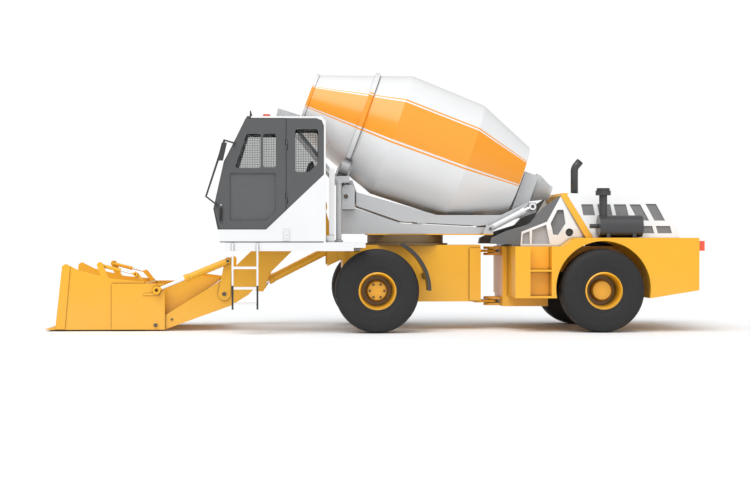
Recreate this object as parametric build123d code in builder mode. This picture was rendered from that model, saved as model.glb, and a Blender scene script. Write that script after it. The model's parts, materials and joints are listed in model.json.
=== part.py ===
from build123d import *
from math import cos, radians, sin
import os

# Self-loading concrete mixer, in millimetres: articulated chassis, loader boom beside an offset cab and a
# slewing drum. Lengths run back from the front axle, heights from the ground, and Y from the chassis
# centreline, left side negative.
os.makedirs("parts", exist_ok=True)

# Wheels and chassis
tyre_d = 1150
tyre_w = 440
rim_d = 514
tyre_face = 1250
wheelbase = 3100
hitch_back = 1700
axle_tube_d = 210
axle_case_d = 400
axle_gap = 0.3
frame_half = 440
frame_top = 1200
frame_rear = 1500
frame_front = -450
frame_floor = 400
hitch_pin_d = 90
hitch_fit = 0.5
plate_t = 35

# Cab and its platform
cab_out = -1440
cab_in = -690
cab_wall = 40
cab_floor = 1240
cab_roof = 2925
cab_rear = -705
deck_t = 119
door_hinge = -1230
door_gap = 8
sill_h = 170
hinge_r = 12
hinge_h = 60
hinge_pin_r = 6
hinge_fit = 0.4
window_corner = 32

# Loader boom and bucket
boom_y = 240
boom_pivot = (-820, 1740)
boom_pin_d = 100
arm_in = 680
arm_t = 80
bucket_pin = (-3055, 84)
bucket_pin_d = 70
bucket_half = 775
bucket_t = 25
bucket_back = -3190
pin_fit = 0.5
lift_base = (-600, 1150)
lift_eye = (-1600, 640)
lift_lane = 580
lift_d = 104
lift_rod_d = 60
lift_pin_r = 30
crank_top = (-2050, 978)
crank_foot = (-2104, 516)
tilt_eye = (-3037, 573)
tilt_lane = 850
tilt_d = 92
tilt_rod_d = 52
tilt_pin_r = 25
gate_hinge = (-3221, 640)
gate_ram_base = (-3825, 917)
gate_ram_eye = (-3344, 792)
gate_lane = 722
gate_ram_d = 50
gate_rod_d = 28
gate_ram_pin_r = 12
gate_half = 600
gate_drop = 480
gate_t = 18
chute_half = 630
chute_t = 14

# Slewing base, cradle and drum
slew_x = 460
ring_r = 545
slew_top = 1340
slew_plate_t = 16
slew_gap = 0.4
base_half = 450
beam_t = 70
cradle_pin = (-409, 1877)
cradle_pin_d = 80
ram_foot = (1621, 1427)
ram_head = (2226, 1741)
ram_d = 90
ram_rod_d = 50
ram_side = 60
drum_tail = (2070, 2119)
drum_tilt = 20
drum_r = 896
drum_t = 20
drum_hub_r = 130
band_at = 2400
band_w = 64
band_r = 767
roller_r = 110
roller_w = 120
roller_angle = 38
roller_gap = 6

# Rear body
body_half = 1150
body_top = 1300
tail_overhang = 1340
arch_r = 655
hood_t = 30
hood_inset = 250
hood_slope = 250
nose_inset = 100
nose_slope = 140
cheek_t = 160

door_sill = cab_floor + sill_h
body_front = hitch_back + 191
body_tail = wheelbase + tail_overhang
ram_lane = base_half + ram_side
hood_half_low = body_half - hood_inset
hood_half_top = hood_half_low - hood_slope
nose_half = hood_half_low - nose_inset
nose_half_top = nose_half - nose_slope
valley_half = nose_half - cheek_t
axle_z = tyre_d / 2
wheel_y = tyre_face - tyre_w / 2
hub_y = wheel_y - 90

# The box round the whole machine is centred on the part's origin.
bucket_lip = -4570
tail_lamp_t = 75
mirror_out = -1490
center_x = -(bucket_lip + body_tail + tail_lamp_t) / 2
center_y = -(mirror_out + tyre_face) / 2


def side(y):
    """Upright plane along the machine at a distance from its centreline, seen from the left."""
    return Plane(origin=(center_x, y + center_y, 0), x_dir=(1, 0, 0), z_dir=(0, -1, 0))


def level(z):
    """Flat plane at a height."""
    return Plane(origin=(center_x, center_y, z))


def across(x):
    """Upright plane across the machine at a distance behind the front axle, seen from the front."""
    return Plane(origin=(x + center_x, center_y, 0), x_dir=(0, -1, 0), z_dir=(-1, 0, 0))


def along(start, end, y, distance=0):
    """Plane square to a line in the machine's side view, a distance along it."""
    heading = Vector(end[0] - start[0], 0, end[1] - start[1]).normalized()
    origin = Vector(start[0] + center_x, y + center_y, start[1]) + heading * distance
    return Plane(origin=origin, x_dir=(0, 1, 0), z_dir=heading)


def reach(start, end):
    """Length of a line in the machine's side view."""
    return Vector(end[0] - start[0], end[1] - start[1]).length


def slab(points, y_low, y_high, mode=Mode.ADD):
    """Side-view outline carried across from one distance off the centreline to another."""
    with BuildSketch(side(y_high)) as outline:
        with BuildLine():
            Polyline(*points, close=True)
        make_face()
    extrude(outline.sketch, amount=y_high - y_low, mode=mode)


def pane(points, y_low, y_high, mode=Mode.ADD):
    """Side-view window outline with rounded corners, carried across."""
    with BuildSketch(side(y_high)) as outline:
        with BuildLine():
            Polyline(*points, close=True)
        make_face()
        fillet(outline.vertices(), window_corner)
    extrude(outline.sketch, amount=y_high - y_low, mode=mode)


def rod_across(center, radius, y_low, y_high, mode=Mode.ADD):
    """Round bar lying across the machine."""
    with BuildSketch(side(y_high)) as disc:
        with Locations(center):
            Circle(radius)
    extrude(disc.sketch, amount=y_high - y_low, mode=mode)


def pillar(x, y, radius, z_low, z_high, mode=Mode.ADD):
    """Upright round bar."""
    with BuildSketch(level(z_low)) as disc:
        with Locations((x, y)):
            Circle(radius)
    extrude(disc.sketch, amount=z_high - z_low, mode=mode)


def bar(start, end, y, radius, near, far, mode=Mode.ADD):
    """Round bar along a side-view line, between two distances from its start."""
    with BuildSketch(along(start, end, y, near)) as disc:
        Circle(radius)
    extrude(disc.sketch, amount=far - near, mode=mode)


def block(x_low, x_high, y_low, y_high, z_low, z_high, mode=Mode.ADD):
    """Square block between two corners."""
    slab([(x_low, z_low), (x_high, z_low), (x_high, z_high), (x_low, z_high)], y_low, y_high, mode)


def barrel(base, eye, y, length, radius, bore, pin_r):
    """Cylinder barrel: an eye on its base pin and a tube open towards the rod."""
    rod_across(base, pin_r * 1.7, y - radius * 0.8, y + radius * 0.8)
    bar(base, eye, y, radius, pin_r * 1.2, length)
    bar(base, eye, y, radius * 1.12, length - radius * 1.4, length)
    bar(base, eye, y, bore, pin_r * 3, length, Mode.SUBTRACT)
    rod_across(base, pin_r + pin_fit, y - radius, y + radius, Mode.SUBTRACT)


def piston(base, eye, y, start, radius, eye_r, pin_r):
    """Cylinder rod from inside its barrel to its eye."""
    full = reach(base, eye)
    bar(base, eye, y, radius, start, full - pin_r * 1.1)
    rod_across(eye, eye_r, y - radius * 1.1, y + radius * 1.1)
    rod_across(eye, pin_r + pin_fit, y - radius * 2, y + radius * 2, Mode.SUBTRACT)


def behind(points):
    """Side-view points counted from the rear axle."""
    return [(wheelbase + x, z) for x, z in points]


def both(middle, low, high):
    """Matching spans on the two sides of a middle line."""
    return ((middle - high, middle - low), (middle + low, middle + high))


def keep(piece, name):
    """Label a finished piece and write its file."""
    piece.label = name
    export_step(piece, f"parts/{name}.step")


# Front frame: deep welded box with forward cheek plates, towers for the boom and tongues for the hitch.
lane_l = boom_y - lift_lane
lane_r = boom_y + lift_lane
tower_l = boom_y - arm_in + 5
tower_r = boom_y + arm_in - 5
tower_front = [(-669, 900), (-669, 1250), (-960, 1700), (-900, 1860), (-740, 1860), (-560, 1250),
               (frame_front, 1000)]
outrigger = (-530, -400)
with BuildPart() as front_frame:
    slab([(frame_front, 820), (frame_front, frame_top), (frame_rear, frame_top), (frame_rear, frame_floor),
          (520, frame_floor), (330, 820)], -frame_half, frame_half)
    for low, high in ((tower_l, tower_l + plate_t), (tower_r - plate_t, tower_r)):
        slab(tower_front, low, high)
    for lane in (lane_l, lane_r):
        for face in (lane - 85, lane + 65):
            slab([(-669, 1080), (-669, 1200), (outrigger[1], 1200), (outrigger[1], 1000), (-560, 1000)],
                 face, face + 20)
        rod_across(lift_base, lift_pin_r, lane - 85, lane + 85)
    block(outrigger[0], outrigger[1], -frame_half, tower_r, 1000, frame_top)
    rod_across(boom_pivot, boom_pin_d / 2, tower_l - arm_t - 20, tower_l + plate_t)
    rod_across(boom_pivot, boom_pin_d / 2, tower_r - plate_t, tower_r + arm_t + 20)
    for z in (375, 1095):
        with BuildSketch(level(z)) as tongue:
            with BuildLine():
                Polyline((frame_rear, -200), (hitch_back, -105), (hitch_back, 105), (frame_rear, 200),
                         close=True)
            make_face()
            with Locations((hitch_back, 0)):
                Circle(105)
                Circle(hitch_pin_d / 2 + hitch_fit, mode=Mode.SUBTRACT)
        extrude(tongue.sketch, amount=plate_t)
    block(frame_rear - 60, frame_rear, -200, 200, 375, frame_floor)
    for y in (-frame_half - 30, frame_half):
        block(frame_rear - 160, frame_rear, y, y + 30, frame_floor + 15, frame_top - 45)
keep(front_frame.part, "front_frame")

# Axles: a tube with a round gear case in the middle and a flange at each wheel.
for axle_name, axle_x in (("front_axle", 0), ("rear_axle", wheelbase)):
    with BuildPart() as axle:
        rod_across((axle_x, axle_z), axle_tube_d / 2, -hub_y + axle_gap, hub_y - axle_gap)
        rod_across((axle_x, axle_z), axle_case_d / 2, -axle_case_d / 2, axle_case_d / 2)
        chamfer(axle.edges().filter_by(GeomType.CIRCLE).sort_by(SortBy.RADIUS)[-2:], 60)
        for y in (-hub_y + axle_gap, hub_y - axle_gap - 40):
            rod_across((axle_x, axle_z), axle_tube_d / 2 + 30, y, y + 40)
        for y in (-330, 230):
            block(axle_x - 110, axle_x + 110, y, y + 100, axle_z, 820)
    keep(axle.part, axle_name)

# Wheels: dished rim with a stub hub, and a wide smooth-shouldered tyre.
rim_r = rim_d / 2
wheel_places = [
    ("front_left", 0, -1),
    ("front_right", 0, 1),
    ("rear_left", wheelbase, -1),
    ("rear_right", wheelbase, 1),
]
for place, wheel_x, sign in wheel_places:
    hub_line = Axis((wheel_x + center_x, center_y, axle_z), (0, 1, 0))
    wheel_plane = Plane(origin=(wheel_x + center_x, center_y, axle_z), x_dir=(0, 0, 1),
                        z_dir=(sign, 0, 0))
    face = tyre_face
    inner = tyre_face - tyre_w
    with BuildPart() as tyre:
        with BuildSketch(wheel_plane):
            with BuildLine():
                Polyline((rim_r, -inner - 20), (axle_z - 130, -inner), (axle_z - 20, -inner - 70),
                         (axle_z, -inner - 130), (axle_z, -face + 130), (axle_z - 20, -face + 70),
                         (axle_z - 130, -face), (rim_r, -face + 20), close=True)
            make_face()
        revolve(axis=hub_line)
    keep(tyre.part, f"tyre_{place}")
    with BuildPart() as rim:
        with BuildSketch(wheel_plane):
            with BuildLine():
                Polyline((0, -hub_y), (190, -hub_y), (225, -inner - 20), (rim_r, -inner - 20),
                         (rim_r, -face + 20), (rim_r - 18, -face + 10), (rim_r - 30, -face + 60),
                         (200, -hub_y - 40), (150, -hub_y - 40), (145, -hub_y - 125),
                         (125, -hub_y - 150), (0, -hub_y - 150), close=True)
            make_face()
        revolve(axis=hub_line)
    keep(rim.part, f"rim_{place}")

# Slewing ring: flanged bearing on the front frame.
with BuildPart() as slew_ring:
    with BuildSketch(level(frame_top)) as flange:
        with Locations((slew_x, 0)):
            Circle(ring_r + 65)
    extrude(flange.sketch, amount=25)
    with BuildSketch(level(frame_top + 25)) as race:
        with Locations((slew_x, 0)):
            Circle(ring_r)
    extrude(race.sketch, amount=slew_top - slew_gap - frame_top - 25)
keep(slew_ring.part, "slew_ring")

# Cab platform: flat box deck on the left, held by two outriggers from the frame.
deck_front = -2054
deck_rear = -171
with BuildPart() as cab_platform:
    block(deck_front, deck_rear, cab_out, cab_in, cab_floor - deck_t, cab_floor)
    block(-330, deck_rear + 1, cab_out - 1, cab_in + 1, cab_floor - deck_t - 1, tyre_d + 15, Mode.SUBTRACT)
    for x in (-430, -300):
        block(x, x + 90, cab_in, -frame_half, cab_floor - deck_t, frame_top)
keep(cab_platform.part, "cab_platform")

# Cab shell: hollow, with two windscreen slopes, split into a tub with the roof and a window frame.
cab_outline = [(-2113, cab_floor), (-2206, 1694), (-2067, 2320), (-1755, cab_roof),
               (cab_rear - 60, cab_roof), (cab_rear, cab_roof - 60), (cab_rear, cab_floor)]
cab_inside = [(-2080, cab_floor + cab_wall), (-2164, 1694), (-2026, 2310), (-1730, cab_roof - cab_wall),
              (cab_rear - cab_wall, cab_roof - cab_wall), (cab_rear - cab_wall, cab_floor + cab_wall)]
roof_edge = cab_roof - 25
tub_zone = [(-2300, cab_floor), (-2300, door_sill), (-1503, door_sill), (-729, door_sill + 736), (-729, 2800),
            (-758, 2871), (-829, roof_edge), (-1700, roof_edge), (-1700, cab_roof),
            (cab_rear, cab_roof), (cab_rear, cab_floor)]
door_outline = [(-2129, door_sill), (-2206, 1694), (-2067, 2320), (-1781, roof_edge),
                (door_hinge, roof_edge), (door_hinge, door_sill + 259), (-1503, door_sill)]
door_knuckles = (1760, 2480)
frame_knuckles = (1828, 2548)
knuckle_gap = 6
frame_windows = {
    "screen": [(-2230, 1760), (-2090, 2310), (-1830, 2850), (-1700, 2850), (-1990, 2310), (-2110, 1760)],
    "quarter": [(-1114, 2753), (-807, 2753), (-807, 2300), (-930, 2180), (-1114, 2180)],
}
far_window = [(-1900, 2231), (-1761, 2692), (-1367, 2692), (-1367, 2231)]


def cab_walls():
    """Hollow cab between its outer and inner walls."""
    slab(cab_outline, cab_out, cab_in)
    slab(cab_inside, cab_out + cab_wall, cab_in - cab_wall, Mode.SUBTRACT)


with BuildPart() as cab_tub:
    cab_walls()
    slab(tub_zone, cab_out, cab_in, Mode.INTERSECT)
    block(cab_rear - 2 * cab_wall, cab_rear + 1, cab_out + 130, cab_in - 130, 2230, 2780, Mode.SUBTRACT)
keep(cab_tub.part, "cab_tub")

with BuildPart() as cab_frame:
    cab_walls()
    slab(tub_zone, cab_out - 1, cab_in + 1, Mode.SUBTRACT)
    slab(door_outline, cab_out - 1, cab_out + cab_wall + 6, Mode.SUBTRACT)
    slab(frame_windows["screen"], cab_out + 70, cab_in - 70, Mode.SUBTRACT)
    pane(frame_windows["quarter"], cab_out - 1, cab_in + 1, Mode.SUBTRACT)
    pane(far_window, cab_in - 2 * cab_wall, cab_in + 1, Mode.SUBTRACT)
    block(cab_rear - 2 * cab_wall, cab_rear + 1, cab_out + 130, cab_in - 130, 2230, 2780, Mode.SUBTRACT)
    for z in door_knuckles:
        pillar(door_hinge, cab_out, hinge_r + knuckle_gap, z - knuckle_gap, z + hinge_h + knuckle_gap,
               Mode.SUBTRACT)
    for z in frame_knuckles:
        pillar(door_hinge, cab_out, hinge_r, z, z + hinge_h)
        pillar(door_hinge, cab_out, hinge_pin_r, z - hinge_h - knuckle_gap, z)
keep(cab_frame.part, "cab_frame")

# Cab door: rear-hinged pressed panel with two upper windows and a lower pane.
door_windows = [
    [(-1761, 2692), (-1575, 2692), (-1575, 2232), (-1922, 2232)],
    [(-1543, 2692), (-1367, 2692), (-1367, 2243), (-1543, 2243)],
    [(-1986, 2164), (-1374, 2164), (-1374, door_sill + 240), (-1500, door_sill + 121),
     (-1986, door_sill + 121)],
]
with BuildPart() as cab_door:
    with BuildSketch(side(cab_out + cab_wall)) as door_face:
        with BuildLine():
            Polyline(*door_outline, close=True)
        make_face()
        offset(amount=-door_gap, kind=Kind.INTERSECTION, mode=Mode.REPLACE)
    extrude(door_face.sketch, amount=cab_wall)
    for window in door_windows:
        pane(window, cab_out - 1, cab_out + cab_wall + 1, Mode.SUBTRACT)
    for z in frame_knuckles:
        pillar(door_hinge, cab_out, hinge_r + knuckle_gap, z - knuckle_gap, z + hinge_h + knuckle_gap,
               Mode.SUBTRACT)
    for z in door_knuckles:
        pillar(door_hinge, cab_out, hinge_r, z, z + hinge_h)
        pillar(door_hinge, cab_out, hinge_pin_r + hinge_fit, z, z + hinge_h, Mode.SUBTRACT)
    block(-2120, -2085, cab_out - 12, cab_out, door_sill + 90, door_sill + 310)
keep(cab_door.part, "cab_door")

# Panes of the cab: thin plates in the window openings of the fixed frame and of the door.
pane_t = 6
pane_y = cab_out + cab_wall / 2
with BuildPart() as door_glass:
    for window in door_windows:
        pane(window, pane_y, pane_y + pane_t)
keep(door_glass.part, "door_glass")
with BuildPart() as cab_glass:
    slab([(-2178, 1765), (-2047, 2315), (-1774, 2850), (-1767, 2847), (-2040, 2312), (-2171, 1763)],
         cab_out + 70, cab_in - 70)
    for y in (pane_y, cab_in - cab_wall / 2):
        pane(frame_windows["quarter"], y, y + pane_t)
    pane(far_window, cab_in - cab_wall / 2, cab_in - cab_wall / 2 + pane_t)
    block(cab_rear - 25, cab_rear - 25 + pane_t, cab_out + 130, cab_in - 130, 2230, 2780)
keep(cab_glass.part, "cab_glass")

# Seat, console and driver's column inside the cab.
seat_y = (cab_out + cab_in) / 2
with BuildPart() as cab_seat:
    slab([(-1420, 1620), (-1420, 1740), (-1010, 1720), (-940, 2330), (-840, 2330), (-900, 1620)],
         seat_y - 230, seat_y + 230)
keep(cab_seat.part, "cab_seat")
with BuildPart() as cab_console:
    block(-1350, -950, seat_y - 180, seat_y + 180, cab_floor + cab_wall, 1620)
    slab([(-2060, cab_floor + cab_wall), (-2075, 1500), (-1960, 1960), (-1880, 1960),
          (-1900, cab_floor + cab_wall)], seat_y - 200, seat_y + 200)
keep(cab_console.part, "cab_console")

# Access ladder: two rails hooked on the deck edge and three treads.
ladder_rails = (-1961, -1630)
with BuildPart() as access_ladder:
    for x in ladder_rails:
        block(x, x + 25, cab_out - 25, cab_out, 340, cab_floor - 10)
    for z in (396, 609, 882):
        block(ladder_rails[0] + 25, ladder_rails[1], cab_out - 25, cab_out + 130, z, z + 32)
keep(access_ladder.part, "access_ladder")

# Slewing plate on the ring, with a wing on each side under the tilting rams.
base_floor = slew_top + slew_plate_t
wing_out = ram_lane + 75
wing_x = (1500, 1660)
with BuildPart() as slew_plate:
    block(-102, wing_x[1], -base_half, base_half, slew_top, base_floor)
    block(wing_x[0], wing_x[1], -wing_out, wing_out, slew_top, base_floor)
keep(slew_plate.part, "slew_plate")

# Drum base: two beams with cross members, front posts for the cradle pins and rear brackets for the rams.
post_rear = -285
post_out = base_half + 110
ram_pin_r = 25
post_head = [(-460, 2000), (-430, 2040), (-320, 2040), (post_rear, 2000)]
base_outline = [(-460, base_floor), *post_head, (post_rear, 1720), (377, 1505), (1460, 1448),
                (wing_x[1], 1448), (wing_x[1], base_floor)]
with BuildPart() as drum_base:
    for low, high in both(0, base_half - beam_t, base_half):
        slab(base_outline, low, high)
        rod_across(ram_foot, 55, low, high)
    for x in (-90, 1100):
        block(x, x + 120, -base_half, base_half, base_floor, base_floor + 75)
    for low, high in both(0, base_half - beam_t, post_out):
        slab([(-460, 1700), *post_head, (post_rear, 1700)], low, high)
    for low, high in both(0, base_half - 150, base_half):
        rod_across(cradle_pin, cradle_pin_d / 2, low, high)
    for low, high in both(0, base_half - beam_t, wing_out):
        rod_across(ram_foot, ram_pin_r, low, high)
    for low, high in both(0, wing_out - 15, wing_out):
        slab([(1520, base_floor), (1565, 1480), (wing_x[1], 1480), (wing_x[1], base_floor)], low, high)
keep(drum_base.part, "drum_base")

# Drum direction: its axis rises forwards from the tail.
lean = radians(drum_tilt)
drum_way = Vector(-cos(lean), 0, sin(lean))
drum_up = Vector(sin(lean), 0, cos(lean))


def on_drum(distance, out):
    """Side-view point at a distance along the drum's axis and out from it."""
    spot = drum_way * distance + drum_up * out
    return (drum_tail[0] + spot.X, drum_tail[1] + spot.Z)


drum_plane = Plane(origin=(drum_tail[0] + center_x, center_y, drum_tail[1]), x_dir=drum_up, z_dir=(0, -1, 0))
drum_axis = Axis(drum_plane.origin, drum_way)

# Cradle: two side beams on the front pins, roller bridge at the front, gearbox block at the tail.
lug_t = 80
lug_gap = 10
lug_out = base_half - beam_t - lug_gap
block_gap = 40
bridge_half = 650
block_t = 200
roller_out = band_r + roller_r + roller_gap
roller_down = roller_out * cos(radians(roller_angle))
roller_y = roller_out * sin(radians(roller_angle))
drum_front = on_drum(1000, 0)
cradle_outline = [(-262, 1930), (-252, 1941), (882, 1621), (1794, 1622), (2160, 1800), (2290, 1800),
                  (2290, 1660), (1794, 1500), (1460, 1470), (377, 1528), (-231, 1740), (-262, 1760)]
with BuildPart() as cradle:
    for low, high in both(0, base_half - beam_t, base_half):
        slab(cradle_outline, low, high)
    for low, high in both(0, base_half - beam_t, ram_lane - ram_rod_d / 2 - 10):
        rod_across(ram_head, 58, low, high)
    slab([(-262, 1930), (-180, 1910), (-180, 1740), (-262, 1760)], 5 - base_half, base_half - 5)
    for low, high in both(0, lug_out - lug_t, lug_out):
        rod_across(cradle_pin, 90, low, high)
        slab([(-340, 1800), (-480, 1850), (-500, 2110), (-310, 2110), (-240, 1920), (-240, 1770)],
             low, high)
        rod_across(cradle_pin, cradle_pin_d / 2 + pin_fit, low, high, Mode.SUBTRACT)
    block(-540, -360, -bridge_half, bridge_half, 2070, 2160)
    for y in (-roller_y, roller_y):
        for place in (band_at - 85, band_at + 67):
            with BuildSketch(along(drum_tail, drum_front, y, place)) as bracket:
                with Locations((0, roller_down + 85)):
                    Rectangle(130, 270)
            extrude(bracket.sketch, amount=18)
    for x in (600, 1300):
        block(x, x + 120, -base_half, base_half, 1500, 1600)
    slab([on_drum(-block_gap, -480), on_drum(-block_gap, 150), on_drum(-block_gap - block_t, 150),
          on_drum(-block_gap - block_t, -480)], -300, 300)
    slab([(1950, 1585), (1950, 1690), (2180, 1780), (2200, 1640)], 5 - base_half, base_half - 5)
keep(cradle.part, "cradle")

# Drum drive: gearbox cone and motor behind the tail block.
with BuildPart() as drum_drive:
    with BuildSketch(drum_plane) as cone:
        with BuildLine():
            Polyline((0, -240), (200, -240), (200, -300), (110, -480), (110, -520), (0, -520), close=True)
        make_face()
    revolve(cone.sketch, axis=drum_axis)
keep(drum_drive.part, "drum_drive")

# Support rollers under the drum's band, on short axles.
with BuildPart() as drum_rollers:
    for y in (-roller_y, roller_y):
        for place, half, radius in ((band_at, roller_w / 2, roller_r), (band_at, roller_w / 2 + 7, 30)):
            with BuildSketch(along(drum_tail, drum_front, y, place - half)) as disc:
                with Locations((0, roller_down)):
                    Circle(radius)
            extrude(disc.sketch, amount=2 * half)
keep(drum_rollers.part, "drum_rollers")

# Charge hopper in front of the drum's mouth, on two struts from the roller bridge.
hopper_half = 420
hopper_t = 12
hopper_outline = [(-1357, 3121), (-1382, 3016), (-1335, 2985), (-1097, 2905), (-1049, 3024)]
hopper_inside = [(-1342, 3150), (-1369, 3021), (-1329, 2996), (-1106, 2921), (-1063, 3026), (-1063, 3100)]
with BuildPart() as charge_hopper:
    slab(hopper_outline, -hopper_half, hopper_half)
    slab(hopper_inside, hopper_t - hopper_half, hopper_half - hopper_t, Mode.SUBTRACT)
    block(-1115, -1000, -190, 190, 2921, 3060, Mode.SUBTRACT)
    slab([(-1110, 2909), (-1110, 2921), (-930, 2880), (-930, 2868)], -190, 190)
    for low, high in both(0, 615, bridge_half):
        slab([(-540, 2085), (-540, 2155), (-1215, 3000), (-1260, 2960)], low, high)
    for low, high in both(0, hopper_half, bridge_half):
        block(-1255, -1215, low, high, 2962, 2998)
keep(charge_hopper.part, "charge_hopper")

# Drum: double cone shell with an open mouth, a running band and a drive hub.
drum_outer = [(0, -block_gap + 0.3), (drum_hub_r, -block_gap + 0.3), (drum_hub_r, 0), (521, 0), (857, 821),
              (drum_r, 1922), (737, band_at - band_w / 2), (band_r, band_at - band_w / 2),
              (band_r, band_at + band_w / 2), (714, band_at + band_w / 2), (447, 3180),
              (458, 3180), (458, 3220)]
drum_inner = [(433 - drum_t, 3220), (drum_r - drum_t, 1918), (858 - drum_t, 826), (528 - drum_t, drum_t),
              (0, drum_t)]
with BuildPart() as drum:
    with BuildSketch(drum_plane) as shell:
        with BuildLine():
            Polyline(*drum_outer, *drum_inner, close=True)
        make_face()
    revolve(shell.sketch, axis=drum_axis)
keep(drum.part, "drum")

# Drum tilting rams on both sides.
with BuildPart() as drum_ram_barrels:
    for y in (-ram_lane, ram_lane):
        barrel(ram_foot, ram_head, y, 560, ram_d / 2, ram_rod_d / 2 + 1, ram_pin_r)
keep(drum_ram_barrels.part, "drum_ram_barrels")
with BuildPart() as drum_ram_rods:
    for y in (-ram_lane, ram_lane):
        piston(ram_foot, ram_head, y, 260, ram_rod_d / 2, 50, ram_pin_r)
keep(drum_ram_rods.part, "drum_ram_rods")

# Rear frame: hitch box with two clevises and pins, and a deep rail box under the engine.
rear_floor = 820
hitch_box = hitch_back + 115
rail_front = hitch_back + 760
rail_rear = body_tail - 180
clevis_levels = (330, 420, 1050, 1140)
with BuildPart() as rear_frame:
    block(hitch_box, rail_front, 10 - frame_half, frame_half - 10, 330, 1180)
    block(rail_front, rail_rear, -frame_half, frame_half, rear_floor, 1180)
    for z in clevis_levels:
        with BuildSketch(level(z)) as clevis:
            with BuildLine():
                Polyline((hitch_back, -105), (hitch_box, -140), (hitch_box, 140), (hitch_back, 105),
                         close=True)
            make_face()
            with Locations((hitch_back, 0)):
                Circle(105)
        extrude(clevis.sketch, amount=plate_t)
    for z in (330, 1050):
        with BuildSketch(level(z)) as pin:
            with Locations((hitch_back, 0)):
                Circle(hitch_pin_d / 2)
        extrude(pin.sketch, amount=125)
keep(rear_frame.part, "rear_frame")

# Rear body: side boxes with wheel arches and steps, joined by a tail box with a tow plate.
tow_x = body_tail
arch_x = wheelbase + 9
tow_r = 20
body_step = 1181
body_outline = [(body_front, 473), (body_front, body_step), (wheelbase - 540, body_step),
                (wheelbase - 380, body_top), (body_tail, body_top), (body_tail, 577), (arch_x + arch_r, 469)]
step_x = (body_front + 209, body_front + 504)
step_in = body_half - 170
with BuildPart() as rear_body:
    for low, high in both(0, frame_half, body_half):
        slab(body_outline, low, high)
    block(rail_rear, body_tail, -frame_half, frame_half, 600, body_top)
    rod_across((arch_x, 600), arch_r, -body_half - 1, body_half + 1, Mode.SUBTRACT)
    block(rail_rear, body_tail, -frame_half, frame_half, 900, body_top)
    for low, high in both(0, step_in, body_half + 1):
        block(step_x[0], step_x[1], low, high, 500, body_step + 1, Mode.SUBTRACT)
    for low, high in both(0, step_in, body_half):
        block(step_x[0], step_x[1], low, high, 836, 862)
    block(tow_x - 70, body_tail + 1, -140, 140, 590, 840, Mode.SUBTRACT)
    with BuildSketch(level(720)) as tow:
        with BuildLine():
            Polyline((tow_x - 80, -80), (tow_x, -43), (tow_x, 43), (tow_x - 80, 80), close=True)
        make_face()
        with Locations((tow_x, 0)):
            Circle(43)
            Circle(tow_r, mode=Mode.SUBTRACT)
    extrude(tow.sketch, amount=40)
keep(rear_body.part, "rear_body")

# Engine hood: sloping-sided cover, open below, with louvre windows.
hood_outline = behind([(-407, 1900), (-385, 1927), (869, 1880), (1118, 1412), (1129, body_top),
                       (-80, body_top)])
# Louvre windows, from the rear axle: front end and height of the upper edge, of the lower edge, and width.
hood_windows = [
    (-220, 1768, -200, 1614, 165),
    (5, 1768, 25, 1614, 185),
    (238, 1768, 265, 1596, 175),
    (460, 1768, 565, 1540, 155),
    (690, 1775, 795, 1540, 150),
    (582, 1464, 601, 1362, 175),
    (808, 1464, 827, 1362, 200),
]
hood_inside = behind([(-365, 1895), (850, 1850), (1086, 1400), (1099, body_top - 1), (-46, body_top - 1)])


def hood_section(shrink, mode):
    """Sloping sides of the hood, narrower towards the top."""
    with BuildSketch(across(wheelbase + 1200)) as section:
        with BuildLine():
            Polyline((shrink - hood_half_low, body_top - 1), (shrink - hood_half_top, 1940),
                     (hood_half_top - shrink, 1940), (hood_half_low - shrink, body_top - 1),
                     close=True)
        make_face()
    extrude(section.sketch, amount=1900, mode=mode)


with BuildPart() as hood_space:
    slab(hood_inside, -hood_half_low, hood_half_low)
    hood_section(hood_t, Mode.INTERSECT)
with BuildPart() as hood:
    slab(hood_outline, -hood_half_low, hood_half_low)
    hood_section(0, Mode.INTERSECT)
    add(hood_space.part, mode=Mode.SUBTRACT)
    for top_x, top_z, low_x, low_z, width in hood_windows:
        slab(behind([(top_x, top_z), (top_x + width, top_z), (low_x + width, low_z), (low_x, low_z)]),
             -body_half, body_half, Mode.SUBTRACT)
keep(hood.part, "hood")

# Hood band: slanted strip between the hood and its nose.
with BuildPart() as hood_band:
    slab(behind([(-500, 1889), (-475, 1927), (-389, 1927), (-409, 1900), (-82, body_top), (-185, body_top)]),
         -hood_half_low, hood_half_low)
    hood_section(0, Mode.INTERSECT)
keep(hood_band.part, "hood_band")

# Hood nose: two cheeks with a low valley between them that the drum's tail swings over, split into a dark
# front cover and a rear frame with windows.
nose_outline = behind([(-1492, 1215), (-1475, 1300), (-1293, 1385), (-955, 1490), (-740, 1730), (-500, 1889),
                       (-185, body_top), (-380, body_top), (-540, body_step), (-1205, body_step),
                       (-1213, 1215)])
nose_valley = behind([(-1500, 1180), (-1500, 1900), (-400, 1900), (-400, 1430), (-950, 1430), (-950, 1330),
                      (-1290, 1330), (-1290, 1180)])
cover_zone = behind([(-1600, 1100), (-1094, 1100), (-1071, 1385), (-710, 1524), (-488, 1900), (-488, 2000),
                     (-1600, 2000)])
nose_windows = [
    [(-1054, 1355), (-960, 1392), (-955, 1215), (-1064, 1215)],
    [(-922, 1408), (-724, 1482), (-675, 1215), (-928, 1215)],
    [(-555, 1690), (-470, 1690), (-450, 1500), (-557, 1340), (-628, 1345), (-660, 1501)],
]


def nose_shell():
    """Both cheeks of the nose and the floor between them."""
    slab(nose_outline, -nose_half, nose_half)
    with BuildSketch(across(wheelbase - 150)) as section:
        with BuildLine():
            Polyline((-nose_half, 1180), (-nose_half, 1420), (-nose_half_top, 1900), (nose_half_top, 1900),
                     (nose_half, 1420), (nose_half, 1180), close=True)
        make_face()
    extrude(section.sketch, amount=1400, mode=Mode.INTERSECT)
    slab(nose_valley, -valley_half, valley_half, Mode.SUBTRACT)


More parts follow.
